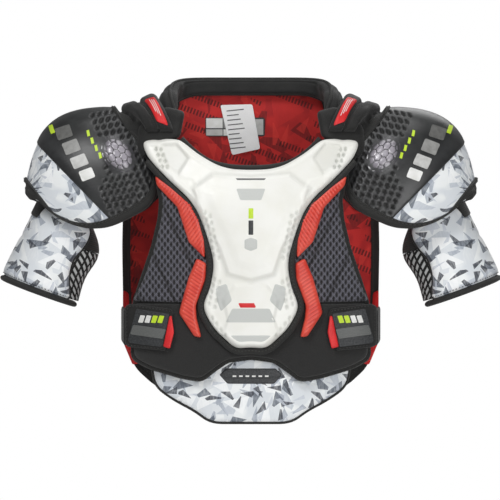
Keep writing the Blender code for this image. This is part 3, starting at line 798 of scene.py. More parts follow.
def make_finishes():
    label = grained("dark_label", (52, 54, 56), 0.5, 500, (36, 38, 40), (62, 64, 66), ends=(0.3, 0.7))
    label.bump(label.weave("UV", 0.001), 0.3, 0.0002)
    made = {
        "black": cloth("black_cloth", grey(12), (27, 27, 26), 0.8, kind="Object",
                       Sheen_Weight=0.10, Sheen_Roughness=0.5),
        "yoke": cloth("yoke_cloth", grey(16), (33, 33, 32), 0.8, 0.0016, "Object",
                      Sheen_Weight=0.12, Sheen_Roughness=0.45),
        "shell": white_moulding(),
        "inset": pale_mesh(),
        "binding": grosgrain(),
        "rib": coral_moulding(),
        "mesh": spacer_mesh(),
        "pile": grained("loop_pile", (18, 18, 17), 0.95, 850, grey(6), (27, 27, 26), 4.0,
                        ends=(0.35, 0.7), bump=(0.9, 0.0009), Sheen_Weight=0.15, Sheen_Roughness=0.7),
        "liner": shard_print("red_liner", LINER_LAYERS, (184, 28, 30), 0.72, (60, 8, 10)),
        "shards": shard_print("shard_print", SHARD_LAYERS, (242, 245, 246), 0.6),
        "cap": cap_satin(),
        "bar": grained("grey_print", (92, 94, 93), 0.45, 1200, (78, 80, 80), (112, 114, 112), 2.0,
                       ends=(0.35, 0.65), bump=(0.3, 0.0002)),
        "label": label,
        "tag": cloth("white_tag", grey(246), grey(254), 0.55, 0.0008, strength=0.2),
        "red": cloth("red_patch", (204, 26, 32), (228, 40, 42), 0.5, 0.0009, strength=0.25),
        "neon": grained("neon_print", (190, 222, 40), 0.45, 300, (178, 210, 40), (204, 232, 60),
                        kind="Object"),
        "boss": boss_gel(),
        "ink": grained("white_print", grey(232), 0.4, 120, (205, 206, 200), grey(244), kind="Object"),
        "thread": grained("thread", (52, 52, 50), 0.7, 1600, (40, 40, 39), (74, 74, 72), 1.0, "Object"),
        "web": elastic_web(),
        "dash": dashed_web(),
    }
    for key, level in (("bar_dark", 96), ("bar_mid", 142), ("bar_pale", 190)):
        made[key] = grained(
            "print_" + key, (level, level, level - 3), 0.4, 160, (level - 26, level - 26, level - 28),
            (level + 22, level + 22, level + 20), kind="Object",
        )
    return {key: finish.material for key, finish in made.items()}


FINISH = make_finishes()


# ---- Outlines, in millimetres, as the patterns of the CAD model ------------------------------

NECKLINE = [(0, -41), (26, -40), (52, -34), (74, -18), (87, -4)]
CHEST_SIDE = [
    (118, -3), (131, -9), (134, -24), (122, -46), (113, -62), (109, -80), (111, -104),
    (119, -138), (132, -176), (143, -209),
]
BELLY_HEM = [(145, -276), (125, -286), (86, -297), (62, -301), (47, -289), (30, -277), (0, -273)]
PLATE = [
    (0, -43), (24, -42), (42, -37), (66, -23), (82, -10), (90, -5), (106, -4), (114, -6),
    (122, -5), (133, -7), (134, -14), (127, -29), (114, -43), (99, -58), (79, -76),
    (67, -92), (60, -108), (53, -128), (47, -150), (46, -165),
    (50, -188), (58, -206), (58, -217), (46, -239), (19, -264), (0, -262),
]
MESH_INNER = [(51, -207), (48, -190), (44, -160), (52, -118), (62, -96), (84, -76), (110, -64)]
RIB_UPPER = [
    (119, -50), (117, -62), (91, -89), (77, -132), (57, -152), (56, -130), (63, -104), (74, -84),
    (100, -62),
]
RIB_LOWER = [
    (67, -152), (55, -158), (56, -178), (68, -211), (67, -226), (61, -250), (70, -249),
    (89, -220), (86, -208), (77, -176),
]
EXTENSION = [(124, -264), (124, -290), (119, -313), (94, -330), (70, -342), (50, -357), (0, -357)]
BACK_PANEL = [
    (0, 60), (84, 60), (94, 36), (94, -18), (110, -22), (109, -44), (112, -66), (118, -80),
    (132, -90), (153, -94), (154, -140), (153, -206), (149, -250), (142, -288), (117, -312),
    (84, -326), (0, -330),
]
SCAPULA = [
    (30, -20), (104, -24), (102, -60), (108, -92), (132, -128), (112, -156), (62, -134), (60, -80),
]
KIDNEY = [(60, -166), (112, -176), (140, -172), (140, -226), (112, -262), (60, -262)]
WING = [(146, -196), (151, -196), (149, -244), (140, -282), (132, -282), (141, -240)]



def ovals(points, centres, half_along, half_across):
    """1 in the middle of each upright oval, falling to 0 at its rim."""
    depth = np.zeros(len(points))
    for centre in centres:
        near = oval_reach(points - np.array(centre), math.pi / 2, half_along, half_across)
        depth = np.maximum(depth, np.clip(1.15 - near, 0, 0.5) * 2)
    return depth


def both_sides(points):
    return points + [(-x, z) for x, z in points]


def trapezoid(x0, z0, x1, z1):
    """Four corners in millimetres: half width and height of one end, then of the other."""
    return mm([(-x0, z0), (x0, z0), (x1, z1), (-x1, z1)])


# ---- Chest ----------------------------------------------------------------------------------

SHIELD = mirrored(mm([(0, -52), (48, -48), (73, -66), (60, -100), (40, -140), (29, -172), (0, -180)]))
WAIST = mirrored(mm([
    (0, -182), (20, -184), (36, -203), (30, -226), (36, -246), (16, -262), (0, -262),
]))
SHOULDER = mm([(76, -28), (92, -8), (112, -10), (112, -34), (90, -50)])
FACET = mm([(72, -54), (101, -48), (96, -60), (76, -74), (64, -92), (62, -72)])


def waist_dimples():
    spots = []
    for row in range(7):
        z = -96 - 8.6 * row
        lean = 57 - 1.75 * row
        spots += [(lean, z), (lean - 6.5, z - 4)]
    for row in range(5):
        z = -178 - 7.6 * row
        spots += [(45.5 + 1.6 * row, z), (39 + 1.4 * row, z - 3.8)]
    for row in range(4):
        spots += [(48 - 5.5 * row, -226 - 7 * row)]
    return both_sides(mm(spots))


def shoulder_dimples():
    spots = [(118 - 6.2 * i - 2.6 * j, -17 - 7.2 * j - 0.6 * i) for i in range(2) for j in range(4)]
    return both_sides(mm(spots))


WAIST_DIMPLES, SHOULDER_DIMPLES = waist_dimples(), shoulder_dimples()


def folded(points):
    """Points of the left half laid over the right half."""
    return np.stack([np.abs(points[:, 0]), points[:, 1]], -1)


def plate_relief(points):
    """Height of the plate's face above the third layer's foot, without its rolled edge."""
    right = folded(points)
    shield = within(points, SHIELD)
    height = 0.0052 + 0.0032 * smooth(shield, -0.001, 0.004)
    height += 0.0012 * smooth(shield, 0.010, 0.022)
    height += 0.0026 * smooth(within(points, WAIST), -0.001, 0.004)
    height -= 0.0026 * smooth(within(right, SHOULDER), -0.001, 0.0035)
    height += 0.0014 * smooth(within(right, FACET), -0.001, 0.003)
    crown = 1 - np.clip(right[:, 0] / 0.05, 0, 1) ** 2
    height += 0.0012 * crown
    height -= 0.0015 * ovals(points, WAIST_DIMPLES, 0.0034, 0.0021)
    height -= 0.0018 * ovals(points, SHOULDER_DIMPLES, 0.0032, 0.0022)
    return height


def plate_top(points, edge=None):
    return THIRD + plate_relief(points)


def plate_face(points, edge):
    lip = 0.0008 * groove(edge - 0.006, 0.0025)
    rim = np.maximum(puffed(edge, 1, 0.0045), 0.25)
    return THIRD + 0.0006 + (plate_relief(points) + lip) * rim


# Painted shade for the plate's colour: darker in the dimples, in the shoulder dips and along the step
# round the shield.
def plate_painted_shade(points, edge):
    pits = ovals(points, WAIST_DIMPLES, 0.0034, 0.0021) * 0.55
    dip = smooth(within(folded(points), SHOULDER), -0.0015, 0.002) * 0.25
    step = groove(within(points, SHIELD) + 0.0015, 0.002) * 0.35
    pits = np.maximum(pits, ovals(points, SHOULDER_DIMPLES, 0.0032, 0.0022))
    return np.clip(np.maximum(np.maximum(pits, dip), step), 0, 1)


def on_plate(name, outline, material):
    """A thin print lying on the plate's face."""

    def high(points, edge):
        return plate_top(points) + 0.0005 + 0.0005 * smooth(edge, 0, 0.0008)

    panel(name, "chest", material, torso(FRONT), outline, 0, high, 0.0025, (0.0007,), low_at=plate_top)


def make_plate():
    front = torso(FRONT)
    outline = rounded(mirrored(mm(PLATE)), 0.010)
    panel(
        "moulded_plate", "chest", "shell", front, outline, THIRD, plate_face, 0.0015,
        (0.0003, 0.0008, 0.0016, 0.0026, 0.0038), ("chest_plate",), "white_shell",
        {"recess_shade": plate_painted_shade},
    )
    half = mm(PLATE[PLATE.index((127, -29)):])
    lower = half[:-1] + [(-x, z) for x, z in reversed(half)]
    lower = divided(rounded(lower, 0.010, closed=False), 0.004, closed=False)
    band("plate_tape", "chest", front, spread(lower, -0.001, closed=False),
         [(-x, h) for x, h in tape(0.007, THIRD, 0.0055)], False, ("plate_binding",), "binding")
    stitches("plate_seam", "chest", front, spread(lower, -0.0036, closed=False),
             THIRD + 0.0056, closed=False)
    for name, corners in (("upper", (18, -66, 13, -80)), ("lower", (31, -231, 23, -214))):
        thin(
            "vent_mesh_" + name, "chest", "inset", front, rounded(trapezoid(*corners), 0.002),
            plate_top, -0.0002, 0.0008, 0.002, (0.0007,), ("vent_" + name,), "pale_inset",
        )
    six = mm([(-8, -129), (0, -126), (8, -129), (8, -140), (0, -143), (-8, -140)])
    on_plate("inset_hex", rounded(six, 0.002), "inset")
    for side, name in SIDES.items():
        bar = mm([(44, -188), (30, -183), (23, -204), (37, -218), (42, -204)])
        on_plate("inset_bar_" + name, rounded(flipped(bar, side), 0.003), "inset")
    on_plate("inset_foot", rounded(trapezoid(31, -247, 17, -258), 0.002), "inset")
    red = mm([(-16, -207), (4, -207), (7, -213), (-13, -213)])
    on_plate("accent_red", rounded(red, 0.001), "red")
    on_plate("accent_bar_lime", mm(rectangle(-3, 3.2, -90, -103)), "neon")
    on_plate("accent_bar_dark", mm(rectangle(-3, 3.2, -105, -123)), "label")
    on_plate("accent_line", trapezoid(19, -53, 17, -55.5), "bar")


def make_ribs():
    front = torso(FRONT)
    for side, name in SIDES.items():
        for label, pattern, slope in (
            ("upper", RIB_UPPER, (0.80, 0.60)), ("lower", RIB_LOWER, (0.55, -0.84)),
        ):
            outline = rounded(flipped(mm(pattern), side), 0.0035)

            def ridges(points):
                run = side * points[:, 0] * slope[0] + points[:, 1] * slope[1]
                return np.abs(np.sin(run * math.pi / 0.0042))

            def high(points, edge):
                flutes = 0.0011 * ridges(points) * smooth(edge, 0.002, 0.005)
                return THIRD + 0.001 + (0.0048 + flutes) * puffed(edge, 1, 0.0035)

            # Painted shade in the grooves between the ridges, kept off the rolled edge.
            def shade(points, edge):
                return (1 - ridges(points)) * 0.7 * smooth(edge, 0.001, 0.004)

            panel(
                f"coral_rib_{label}_{name}", "chest", "rib", front, outline, THIRD, high,
                0.0011, (0.0003, 0.0010, 0.0020), (f"rib_{label}_{name}",), "coral_rib",
                {"recess_shade": shade},
            )


def nearest_oval(points, pitch_x, pitch_z, half_x, half_z):
    """1 in the middle of the nearest oval of a staggered field, falling to 0 at its rim."""
    best = np.zeros(len(points))
    for shift in (0, 1):
        x = (points[:, 0] / pitch_x + 0.5 * shift) % 1 - 0.5
        z = (points[:, 1] / (2 * pitch_z) + 0.5 * shift) % 1 - 0.5
        near = np.hypot(x * pitch_x / half_x, z * 2 * pitch_z / half_z)
        best = np.maximum(best, np.clip(1.25 - near, 0, 0.5) * 2)
    return best


def make_mesh_panels():
    front = torso(FRONT)
    for side, name in SIDES.items():
        pattern = CHEST_SIDE[4:-1] + [(147, -206)] + MESH_INNER
        outline = rounded(flipped(mm(pattern), side), 0.006)

        def holes(points):
            return nearest_oval(points, 0.0076, 0.0052, 0.0015, 0.0034)

        def chevron(points):
            run = np.abs(points[:, 0]) * 0.72 - points[:, 1] * 0.35
            return groove(((run / 0.031) % 1 - 0.5) * 0.031, 0.0013)

        def high(points, edge):
            rise = puffed(edge, 0.0035, 0.004)
            return SECOND + 0.0012 + rise - 0.0022 * holes(points) - 0.001 * chevron(points)

        # Dark in the holes, which open onto the dark layer below, and painted shade in the chevron
        # grooves.
        def shade(points, edge):
            return np.clip(holes(points) + 0.7 * chevron(points), 0, 1)

        panel(
            "knit_panel_" + name, "chest", "mesh", front, outline, SECOND, high,
            0.0012, (0.0005, 0.0015, 0.003), ("mesh_panel_" + name,), "grey_mesh",
            {"recess_shade": shade},
        )


def make_chest_cloth():
    front = torso(FRONT)
    liner = rounded(mirrored(mm(NECKLINE + CHEST_SIDE + BELLY_HEM)), 0.010)

    def quilted(points, edge):
        return 0.0015 + puffed(edge, 0.0042, 0.005)

    piece = panel(
        "chest_foam", "chest", "black", front, liner, -0.0005, quilted, 0.004,
        (0.0006, 0.0018, 0.0035), ("chest_liner",), "black_fabric",
    )
    half = mm(NECKLINE)
    line = [(-x, z) for x, z in reversed(half) if x > 0] + half
    neck = rounded(line, 0.012, closed=False)
    band("neck_tape", "chest", front, neck, tape(0.0075, -0.0015, 0.0085, -0.004), False)
    line = mirrored(mm(CHEST_SIDE[4:] + BELLY_HEM))
    sample = divided(rounded(line, 0.006, closed=False), 0.004, closed=False)
    band("chest_tape", "chest", front, sample, tape(-0.0075, -0.0003, 0.0062, 0.0025),
         False, ("chest_binding",), "binding")
    stitches("chest_seam", "chest", front, spread(sample, -0.0035, closed=False), 0.0060, closed=False)
    belly = rounded(mirrored(mm([(0, -209), (147, -209)] + BELLY_HEM)), 0.008)

    def pile(points, edge):
        grain = np.sin(points[:, 0] * 900) * np.sin(points[:, 1] * 1100 + points[:, 0] * 300)
        return SECOND + 0.0008 + puffed(edge, 0.0024, 0.003) + 0.0002 * grain

    panel(
        "belly_pile", "chest", "pile", front, belly, SECOND, pile, 0.0022,
        (0.0005, 0.0015), ("belly_panel",), "loop_pile",
    )


make_plate()
make_ribs()
make_mesh_panels()
make_chest_cloth()


# ---- Shells over a grid ----------------------------------------------------------------------


def shell(
    name, body, material, surface, columns, rows, low, high, replaces=(), slot=None,
):
    """A closed wall over a grid of u and v values. low and high are rules of (u, v)."""
    u, v = np.meshgrid(np.asarray(columns), np.asarray(rows), indexing="ij")
    u, v = u.ravel(), v.ravel()
    across, count = len(rows), len(u)
    corners = np.vstack([surface(u, v, low(u, v)), surface(u, v, high(u, v))])
    faces = []
    last_column = len(columns) - 1
    for i in range(last_column):
        for j in range(across - 1):
            a = i * across + j
            face = (a, a + across, a + across + 1, a + 1)
            faces.append(tuple(reversed(face)))
            faces.append(tuple(index + count for index in face))
    rim = [(i * across, (i + 1) * across) for i in range(last_column)]
    rim += [((i + 2) * across - 1, (i + 1) * across - 1) for i in range(last_column)]
    last = count - across
    rim += [(last + j, last + j + 1) for j in range(across - 1)]
    rim += [(j + 1, j) for j in range(across - 1)]
    faces += [(a, b, b + count, a + count) for a, b in rim]
    uvs = np.stack([np.tile(u, 2), np.tile(v, 2)], -1)
    return finish_piece(new_object(name, corners, faces, uvs), body, material, replaces, slot)


def edge_of_grid(u, v, u0, u1, v0, v1, scale_u=1.0, scale_v=1.0):
    across = np.minimum(u - u0, u1 - u) * scale_u
    along = np.minimum(v - v0, v1 - v) * scale_v
    return np.minimum(across, along)


def finer(first, last, count, ends=0.35):
    """Values from first to last, closer together at both ends."""
    part = np.linspace(0, 1, count + 1)
    bent = (1 - np.cos(np.pi * part)) / 2
    return first + (last - first) * (part * (1 - ends) + bent * ends)


# ---- Collar, yokes and back -----------------------------------------------------------------

YOKE_SPAN = 0.046
YOKE_REACH = 0.105
YOKE_FOOT, YOKE_PUFF = 0.0075, 0.0090


def make_collar():
    reach = 0.20

    def edge(u, v):
        return edge_of_grid(u, v, -1, 1, 0, 1, reach, 0.030)

    def outer(u, v):
        seam = groove((v - 0.80) * 0.030, 0.0016) + groove((np.abs(u) - 0.93) * reach, 0.002)
        wave = 0.0007 * np.sin(u * 23) * np.sin(v * 3.1)
        roll = 0.0020 * smooth(np.abs(u), 0.45, 0.66)
        return 0.0065 + puffed(edge(u, v), 0.0075 + roll, 0.009) - 0.0022 * seam + wave

    def inner(u, v):
        seam = groove((v - 0.80) * 0.030, 0.0016)
        fold = smooth(np.abs(u), 0.40, 0.55) * (1 - smooth(np.abs(u), 0.78, 0.95))
        return 0.0055 - puffed(edge(u, v), 0.0055 + 0.0065 * fold, 0.008) + 0.0012 * seam

    piece = shell(
        "neck_collar", "back", "black", collar, finer(-1, 1, 150), finer(0, 1, 22),
        inner, outer, ("collar",), "black_fabric",
    )
    for name, level in (("collar_piping_top", 1.0), ("collar_piping_foot", 0.0)):
        line = [(u, level) for u in np.linspace(-0.995, 0.995, 140)]
        tube(name, "back", collar, line, 0.006)
    line = [(u, 0.80) for u in np.linspace(-0.42, 0.42, 100)]
    stitches_on("collar_seam", "back", collar, line, 0.0122)


def tube(name, body, surface, line, height):
    """A round cord of piping along a line on a surface, closed at its ends."""
    radius, sides = 0.0022, 8
    at = np.array(line)
    centre = surface(at[:, 0], at[:, 1], np.full(len(at), height))
    above = surface(at[:, 0], at[:, 1], np.full(len(at), height + 0.002))
    run = np.gradient(centre, axis=0)
    run /= np.linalg.norm(run, axis=1, keepdims=True) + 1e-12
    up = above - centre
    up -= run * (up * run).sum(1, keepdims=True)
    up /= np.linalg.norm(up, axis=1, keepdims=True) + 1e-12
    beside = np.cross(run, up)
    length = lengths(centre)
    corners, uvs, faces = [], [], []
    for k in range(sides):
        turn = 2 * math.pi * k / sides
        corners.append(centre + radius * (math.cos(turn) * beside + math.sin(turn) * up))
        uvs.append(np.stack([length, np.full(len(at), radius * turn)], -1))
    corners = np.stack(corners, 1).reshape(-1, 3)
    uvs = np.stack(uvs, 1).reshape(-1, 2)
    for i in range(len(at) - 1):
        for k in range(sides):
            m = (k + 1) % sides
            a, b = i * sides, (i + 1) * sides
            faces.append((a + k, a + m, b + m, b + k))
    faces.append(tuple(reversed(range(sides))))
    faces.append(tuple((len(at) - 1) * sides + k for k in range(sides)))
    return finish_piece(new_object(name, corners, faces, uvs), body, "binding")


def make_yokes():
    for side, name in SIDES.items():
        surface = raised(yoke_base(side), side)
        middle = 0.52
        for label, first, last in (("inner", 0.0, middle - 0.02), ("outer", middle + 0.02, 1.0)):

            def edge(u, v):
                return edge_of_grid(u, v, first, last, -1, 1, YOKE_SPAN, YOKE_REACH)

            def over(u, v):
                wave = 0.0006 * np.sin(v * 17 + 1.3) * np.sin(u * 9)
                return YOKE_FOOT + puffed(edge(u, v), YOKE_PUFF, 0.007) + wave

            def under(u, v):
                return 0.0030 - puffed(edge(u, v), 0.0028, 0.009)

            piece = shell(
                f"yoke_pad_{label}_{name}", "back", "yoke", surface,
                finer(first, last, 22), finer(-1, 1, 90, 0.2), under, over,
                (f"yoke_{label}_{name}",), "black_fabric",
            )
        line = [(middle, v) for v in np.linspace(-0.98, 0.98, 90)]
        tube(f"yoke_piping_{name}", "back", surface, line, 0.0100)
        make_badge(surface, name)
        make_yoke_apron(side, name)


def make_badge(surface, name):
    """The red patch on the front of the inner lobe, with three plain lines on it."""

    def stretched(u, v, height):
        return surface(u / YOKE_SPAN, v / YOKE_REACH, height)

    def outline(shape):
        return [(u * YOKE_SPAN, v * YOKE_REACH) for u, v in shape]

    def high(points, edge):
        u = points[:, 0] / YOKE_SPAN
        v = points[:, 1] / YOKE_REACH
        lobe = edge_of_grid(u, v, 0.0, 0.50, -1, 1, YOKE_SPAN, YOKE_REACH)
        rise = YOKE_FOOT + puffed(lobe, YOKE_PUFF, 0.007)
        return rise + 0.0010 + 0.0004 * smooth(edge, 0, 0.001)

    patch = rounded([(0.07, -0.955), (0.43, -0.90), (0.44, -0.44), (0.13, -0.44)], 0.05)
    thin(
        "yoke_badge_" + name, "back", "red", stretched, outline(patch), high, -0.0009, 0.0, 0.0025,
        (0.0006, 0.0015), ("yoke_patch_" + name,), "coral_rib",
    )
    for row in range(3):
        start, end = -0.84 + 0.03 * row, -0.54 + 0.02 * row
        u0 = 0.185 + 0.055 * row
        thin(
            f"yoke_badge_line_{row}_{name}", "back", "ink", stretched,
            outline(rectangle(u0, u0 + 0.022, start, end)), high, -0.0002, 0.0004, 0.0025, (0.0003,),
        )


def make_yoke_apron(side, name):
    """The lower front of the yoke, which runs down behind the top corner of the chest."""
    half = mm([(82, 30), (104, 36), (126, 30), (141, 10), (143, -14), (136, -30), (112, -14), (88, -2)])
    piece = panel(
        "yoke_apron_" + name, "back", "yoke", torso(FRONT), rounded(flipped(half, side), 0.006), 0.0005,
        lambda p, e: 0.002 + puffed(e, 0.010, 0.008), 0.003, (0.0006, 0.0018, 0.0036),
    )


def scapula_top(points, edge):
    return pad_top(edge) - 0.0016 * groove(edge - 0.016, 0.0013)


def kidney_top(points, edge):
    rows = (points[:, 1] + 0.30) / 0.021 % 1 - 0.5
    return pad_top(edge) - 0.0018 * groove(rows * 0.021, 0.0014) * smooth(edge, 0.004, 0.009)


def pad_top(edge):
    return 0.0103 + puffed(edge, 0.0075, 0.010) + 0.0022 * smooth(edge, 0.008, 0.030)


def make_back():
    behind = torso(BACK)
    outline = rounded(mirrored(mm(BACK_PANEL)), 0.012)
    inside_face = panel(
        "back_liner", "back", "liner", behind, outline, -0.0006,
        lambda p, e: 0.0022 + 0 * e, 0.004, (0.001, 0.003), ("back_panel",), "red_liner",
        low_at=lambda p, e: -0.0006 + 0.0018 * (1 - smooth(e, 0, 0.006)) + quilt(p),
    )
    piece = panel(
        "back_cover", "back", "black", behind, outline, 0.0026,
        lambda p, e: 0.0045 + puffed(e, 0.0040, 0.007), 0.004, (0.001, 0.003, 0.0055),
    )
    edge = divided(outline, 0.004)
    away = 1 if turns_left(outline) else -1
    line = spread(edge, away * 0.001)
    profile = [(away * x, h) for x, h in tape(0.0100, -0.0008, 0.0100, -0.001)]
    band("back_tape", "back", behind, line, profile, True, ("back_binding",), "binding")
    stitches("back_seam_inner", "back", behind, spread(edge, away * 0.003), -0.0010)
    stitches("back_seam_outer", "back", behind, spread(edge, away * 0.0035), 0.0092)
    for side, name in SIDES.items():
        for label, pattern, material, slot, high in (
            ("scapula_pad_", SCAPULA, "cap", "satin_black", scapula_top),
            ("kidney_pad_", KIDNEY, "black", "black_fabric", kidney_top),
        ):
            piece = panel(
                "puffed_" + label + name, "back", material, behind,
                rounded(flipped(mm(pattern), side), 0.014), 0.0095, high, 0.0025,
                (0.0006, 0.0018, 0.0036, 0.006), (label + name,), slot, {"hole": zero, "painted_highlight": zero},
            )
        strip = mm([(163, -196), (163, -262), (151, -292), (143, -290), (153, -262), (156, -200)])
        pocket = mm([(143, -262), (147, -288), (118, -314), (96, -324), (96, -262)])
        for label, points, finish, depth in (
            ("back_side_strip_", strip, "red", 0.0050), ("back_pocket_", pocket, "black", 0.0040),
        ):
            panel(
                label + name, "back", finish, behind, rounded(flipped(points, side), 0.003), 0,
                lambda p, e: -0.0002 + 0 * e, 0.004, (0.0006, 0.0015),
                low_at=lambda p, e: -depth + 0.0010 * (1 - smooth(e, 0, 0.002)),
            )
        panel(
            "red_wing_" + name, "back", "red", behind, rounded(flipped(mm(WING), side), 0.004), 0.0095,
            lambda p, e: 0.0105 + puffed(e, 0.0035, 0.003), 0.003, (0.0006, 0.0016),
            ("wing_" + name,), "coral_rib",
        )


def zero(points, edge=None):
    return np.zeros(len(points))


def quilt(points):
    wave = np.sin(points[:, 0] * 60) * np.sin(points[:, 1] * 48 + 1)
    return -0.0007 * wave


def make_spine():
    def flat(x, z, height):
        return np.stack([x, 0 * x + 0.1215 + height, z + 0 * x], -1)

    for number, (top, bottom) in enumerate(((-116, -160), (-164, -208), (-212, -256)), 1):
        outline = rounded(mm([(-46, bottom), (46, bottom), (52, top), (-52, top)]), 0.010)
        def high(points, edge):
            ribs = np.abs(np.sin(points[:, 0] * math.pi / 0.013)) ** 0.5
            return 0.0004 + puffed(edge, 0.0058, 0.005) - 0.0012 * (1 - ribs) * smooth(edge, 0.005, 0.009)

        panel(
            f"spine_armour_{number}", "back", "cap", flat, outline, 0.0, high, 0.002,
            (0.0005, 0.0014, 0.0028, 0.0044), (f"spine_plate_{number}",), "satin_black",
            {"hole": zero, "painted_highlight": zero},
        )


def make_tag():
    def hung(x, z, height):
        return torso(BACK)(x, z, -height)

    label = rounded(mm([(-58, 24), (18, 24), (18, 0), (-58, 0)]), 0.003)
    panel(
        "size_panel", "back", "label", hung, label, 0.0010, lambda p, e: 0.0018 + 0 * e,
        0.004, (0.0008,), ("size_label",), "black_fabric",
    )
    for number, (x0, x1, z0, z1, material) in enumerate((
        (-57, -36, 10.5, 23, "ink"), (-57, -36, 1, 9, "bar_pale"), (-35, -20, 10.5, 23, "bar_mid"),
        (-35, -20, 1, 9, "ink"), (3, 16, 2, 22, "bar_pale"),
    )):
        panel(
            f"size_mark_{number}", "back", material, hung, mm(rectangle(x0, x1, z0, z1)),
            0.0018, lambda p, e: 0.0022 + 0 * e, 0.004, (0.0004,),
        )
    outline = rounded(mm([(-39, 40), (2, 41), (12, -16), (-24, -24)]), 0.003)

    def curl(points, edge):
        return 0.0030 + 0.0016 * smooth(0.02 - points[:, 1], 0, 0.05) * np.cos(points[:, 0] * 90)

    piece = thin(
        "care_label", "back", "tag", hung, outline, curl, 0.0, 0.0007, 0.003, (0.0008,),
        ("care_tag",), "white_tag",
    )
    for row in range(9):
        z = 33 - 6 * row
        wide = 22 - (row * 7) % 9
        x0 = -31 + 0.539 * row
        bar = [(x0, z), (x0 + wide, z + wide * 0.10), (x0 + wide, z + wide * 0.10 - 1.3), (x0, z - 1.3)]
        thin(f"care_line_{row}", "back", "bar", hung, mm(bar), curl, 0.0006, 0.0010, 0.003, (0.0003,))


make_collar()
make_yokes()
make_back()
make_spine()
make_tag()
# ---- Shoulder cups --------------------------------------------------------------------------

CUP_FIRST, CUP_LAST, CUP_HEM = 0.0016, 0.1484, 0.1728


def cup_map(side):
    """Points over the front half of a cup: (u, v) and where each lies across and up."""
    u, v = np.meshgrid(np.linspace(0.001, 0.149, 330), np.linspace(-0.174, 0, 420), indexing="ij")
    u, v = u.ravel(), v.ravel()
    spots = cup_base(side)(u, v)
    return np.stack([u, v], -1), np.stack([side * spots[:, 0], spots[:, 2]], -1)


CUP_UV, CUP_SEEN = cup_map(RIGHT)


def locate(points):
    """(u, v) on the cup of points of (distance from the middle, z) in millimetres."""
    found = []
    for x, z in points:
        gap = ((CUP_SEEN - np.array([x / 1000, z / 1000])) ** 2).sum(1)
        near = np.argsort(gap)[:4]
        share = 1 / (gap[near] + 1e-9)
        found.append(tuple((CUP_UV[near] * share[:, None]).sum(0) / share.sum()))
    return found


def seen(side, points):
    """Where points of (u, v) lie as seen from the front, in millimetres."""
    spots = cup_base(side)(points[:, 0], points[:, 1])
    return np.stack([side * spots[:, 0], spots[:, 2]], -1) * 1000


LEAN = math.radians(-62)
HOLED = [
    (208, 28), (196, 8), (184, -14), (182, -44), (192, -72), (178, -98), (150, -102), (130, -88),
    (121, -56), (128, -32), (144, -6), (158, 16), (176, 32),
]


def lattice(low, high, along, across, turn):
    """Centres of a staggered field turned by this angle, over a box in millimetres."""
    ahead, beside = axes(turn)
    middle = (np.array(low) + np.array(high)) / 2
    reach = int(max(high[0] - low[0], high[1] - low[1]) / min(along, across)) + 2
    spots = []
    for i in range(-reach, reach + 1):
        for j in range(-reach, reach + 1):
            spot = middle + ahead * along * (i + 0.5 * (j % 2)) + beside * across * j
            if low[0] <= spot[0] <= high[0] and low[1] <= spot[1] <= high[1]:
                spots.append(spot)
    return np.array(spots)


BOSS_MIDDLE = np.array([166.0, -25.0])
BOSS_TURN = math.radians(-130)
HOLE_SPOTS = lattice((115, -110), (212, 36), 10.4, 6.6, LEAN)
HOLE_SPOTS = HOLE_SPOTS[inside(HOLE_SPOTS, HOLED)]


def in_boss(at, grow=1.0):
    """How far into the boss a point is: 1 in its middle, 0 at its rim and below outside."""
    return 1 - oval_reach(at - BOSS_MIDDLE, BOSS_TURN, 25 * grow, 17 * grow)


HOLE_SPOTS = HOLE_SPOTS[in_boss(HOLE_SPOTS, 1.12) < 0]


def hole_depth(at):
    """1 in the middle of each oval perforation, falling to 0 at its rim."""
    best = np.zeros(len(at))
    for spot in HOLE_SPOTS:
        rel = at - spot
        near = np.abs(rel).max(1) < 8
        size = 0.72 + 0.28 * min(1.0, edge_distance(spot[None], HOLED)[0] / 12)
        part = oval_reach(rel[near], LEAN, 4.0 * size, 2.2 * size)
        best[near] = np.maximum(best[near], np.clip(1.22 - part, 0, 0.44) / 0.44)
    return best


def cap_outline():
    """The satin cap's pattern in metres: from the yoke side out to where the print begins."""
    line = [(0.1065 - 0.013 * (v / 0.170) ** 2, v) for v in np.linspace(-0.1700, 0.1700, 44)]
    back = [(0.0040, v) for v in np.linspace(0.1700, -0.1700, 24)]
    return rounded(line + back, 0.004)


